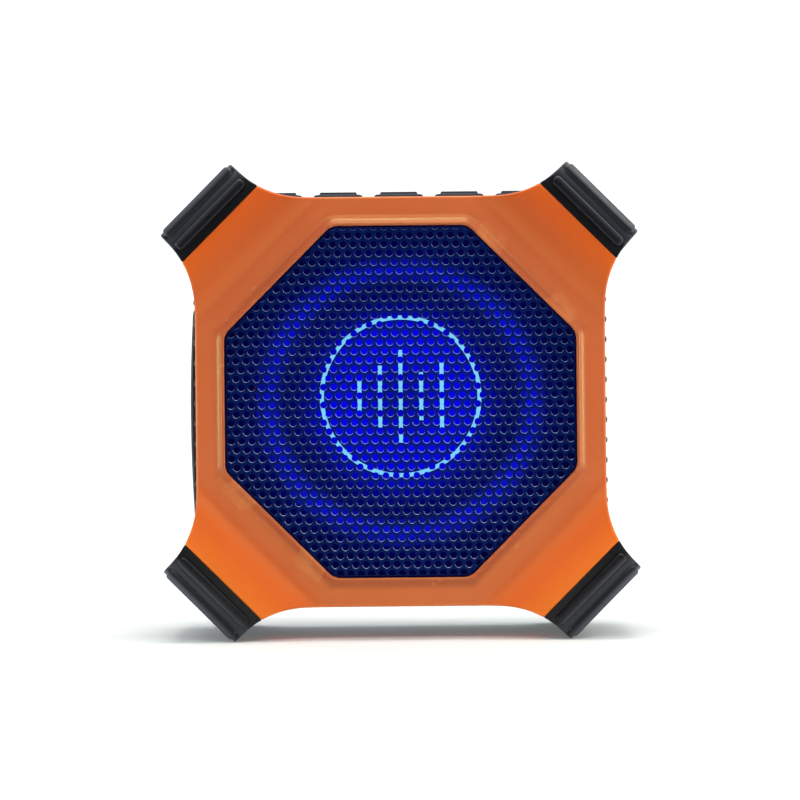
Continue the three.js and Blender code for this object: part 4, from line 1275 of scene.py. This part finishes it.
def stage():
    """A paper sweep: a floor that curves up into a wall."""
    n = Nodes("paper_floor")
    forward = n.spread(n.axis("Y"), 0.0, 1.0, *GREY_TO_WHITE)
    paper = n.mix(n.spread(n.noise(9), 0, 1), (0.76, 0.8, 0.81), (0.78, 0.81, 0.82))
    n.feed(n.mix(forward, (0.28, 0.29, 0.3), paper), "Base Color")
    n.set(Roughness=0.9, Specular_IOR_Level=0.1, Emission_Color=(0.95, 0.99, 1.0, 1.0))
    n.feed(n.math("MULTIPLY", forward, 0.12), "Emission Strength")
    profile = [Vector((FLOOR_FRONT, 0.0)), Vector((WALL_AT - SWEEP, 0.0))]
    profile += arc((WALL_AT - SWEEP, SWEEP), SWEEP, -TURN / 4, 0, 16)[1:]
    profile.append(Vector((WALL_AT, WALL_TOP)))
    points = [(x, p.x, p.y) for x in (-FLOOR_HALF, FLOOR_HALF) for p in profile]
    count = len(profile)
    faces = [(i, i + 1, count + i + 1, count + i) for i in range(count - 1)]
    mesh = bpy.data.meshes.new("floor")
    mesh.from_pydata(points, [], faces)
    floor = in_scene("floor", mesh)
    smooth(mesh, 60)
    mesh.materials.append(n.material)


def softbox(name, place, size, power, colour=(1, 1, 1), aim=None):
    data = bpy.data.lights.new(name, "AREA")
    data.shape = "RECTANGLE"
    data.size, data.size_y = size
    data.energy = power
    data.color = colour
    light = in_scene(name, data)
    light.location = place
    aim = Vector(aim or (0, 0, MIDDLE.z))
    light.rotation_euler = (aim - Vector(place)).to_track_quat("-Z", "Y").to_euler()


WARM = (1.0, 0.96, 0.86)


def studio():
    """A broad key above the camera, small boxes that rim each side, and a wash on the wall."""
    world = bpy.data.worlds.new("studio")
    world.use_nodes = True
    background = world.node_tree.nodes["Background"]
    background.inputs["Color"].default_value = (0.93, 0.98, 1.0, 1.0)
    background.inputs["Strength"].default_value = 0.1
    bpy.context.scene.world = world
    softbox("key", (0.1, -0.85, 1.0), (1.7, 0.4), 8.4)
    softbox("top_box", (0.0, -0.07, 0.78), (0.45, 0.2), 3.2, WARM)
    softbox("left_box", (-0.75, -0.07, 0.1), (0.2, 0.35), 2.1, WARM)
    softbox("right_box", (0.75, -0.07, 0.1), (0.2, 0.35), 2.6, WARM)
    softbox("upper_right_box", (0.5, -0.07, 0.57), (0.15, 0.15), 0.8, WARM)
    softbox("back_wash", (0.0, 0.7, 1.5), (2.4, 0.5), 27.0, aim=(0, 1.6, 0.35))
    bpy.context.scene.view_settings.view_transform = "Standard"


STAND_OFF = 0.724  # camera to the grille's face, in metres
FRAMED = 0.2334  # width of the view at the grille's face
ROLL = math.radians(0.55)


def camera():
    """Straight on, level with the middle, rolled by half a degree."""
    data = bpy.data.cameras.new("camera")
    data.sensor_width = 36.0
    data.lens = data.sensor_width * STAND_OFF / FRAMED
    data.clip_start = 0.05
    data.clip_end = 20
    view = in_scene("camera", data)
    view.location = (-0.0002, -GRILLE_FACE * MM - STAND_OFF, MIDDLE.z + 0.00043)
    view.rotation_euler = (TURN / 4, ROLL, 0)
    bpy.context.scene.camera = view


camera()
dress_cad_nodes()
front_bezel()
front_grille()
bumpers()
side_grip("grip_right", 1, "side_grip_right")
side_grip("grip_left", -1, "side_grip_left")
port_door()
for button in BUTTONS:
    top_button(button)
for corner in CORNERS:
    screw(f"screw_{corner}", f"housing_screw_{corner}")
soften("rear_housing", 0.35)
soften("rear_guard", 0.3)
soften("button_strip", 0.25)
stage()
studio()
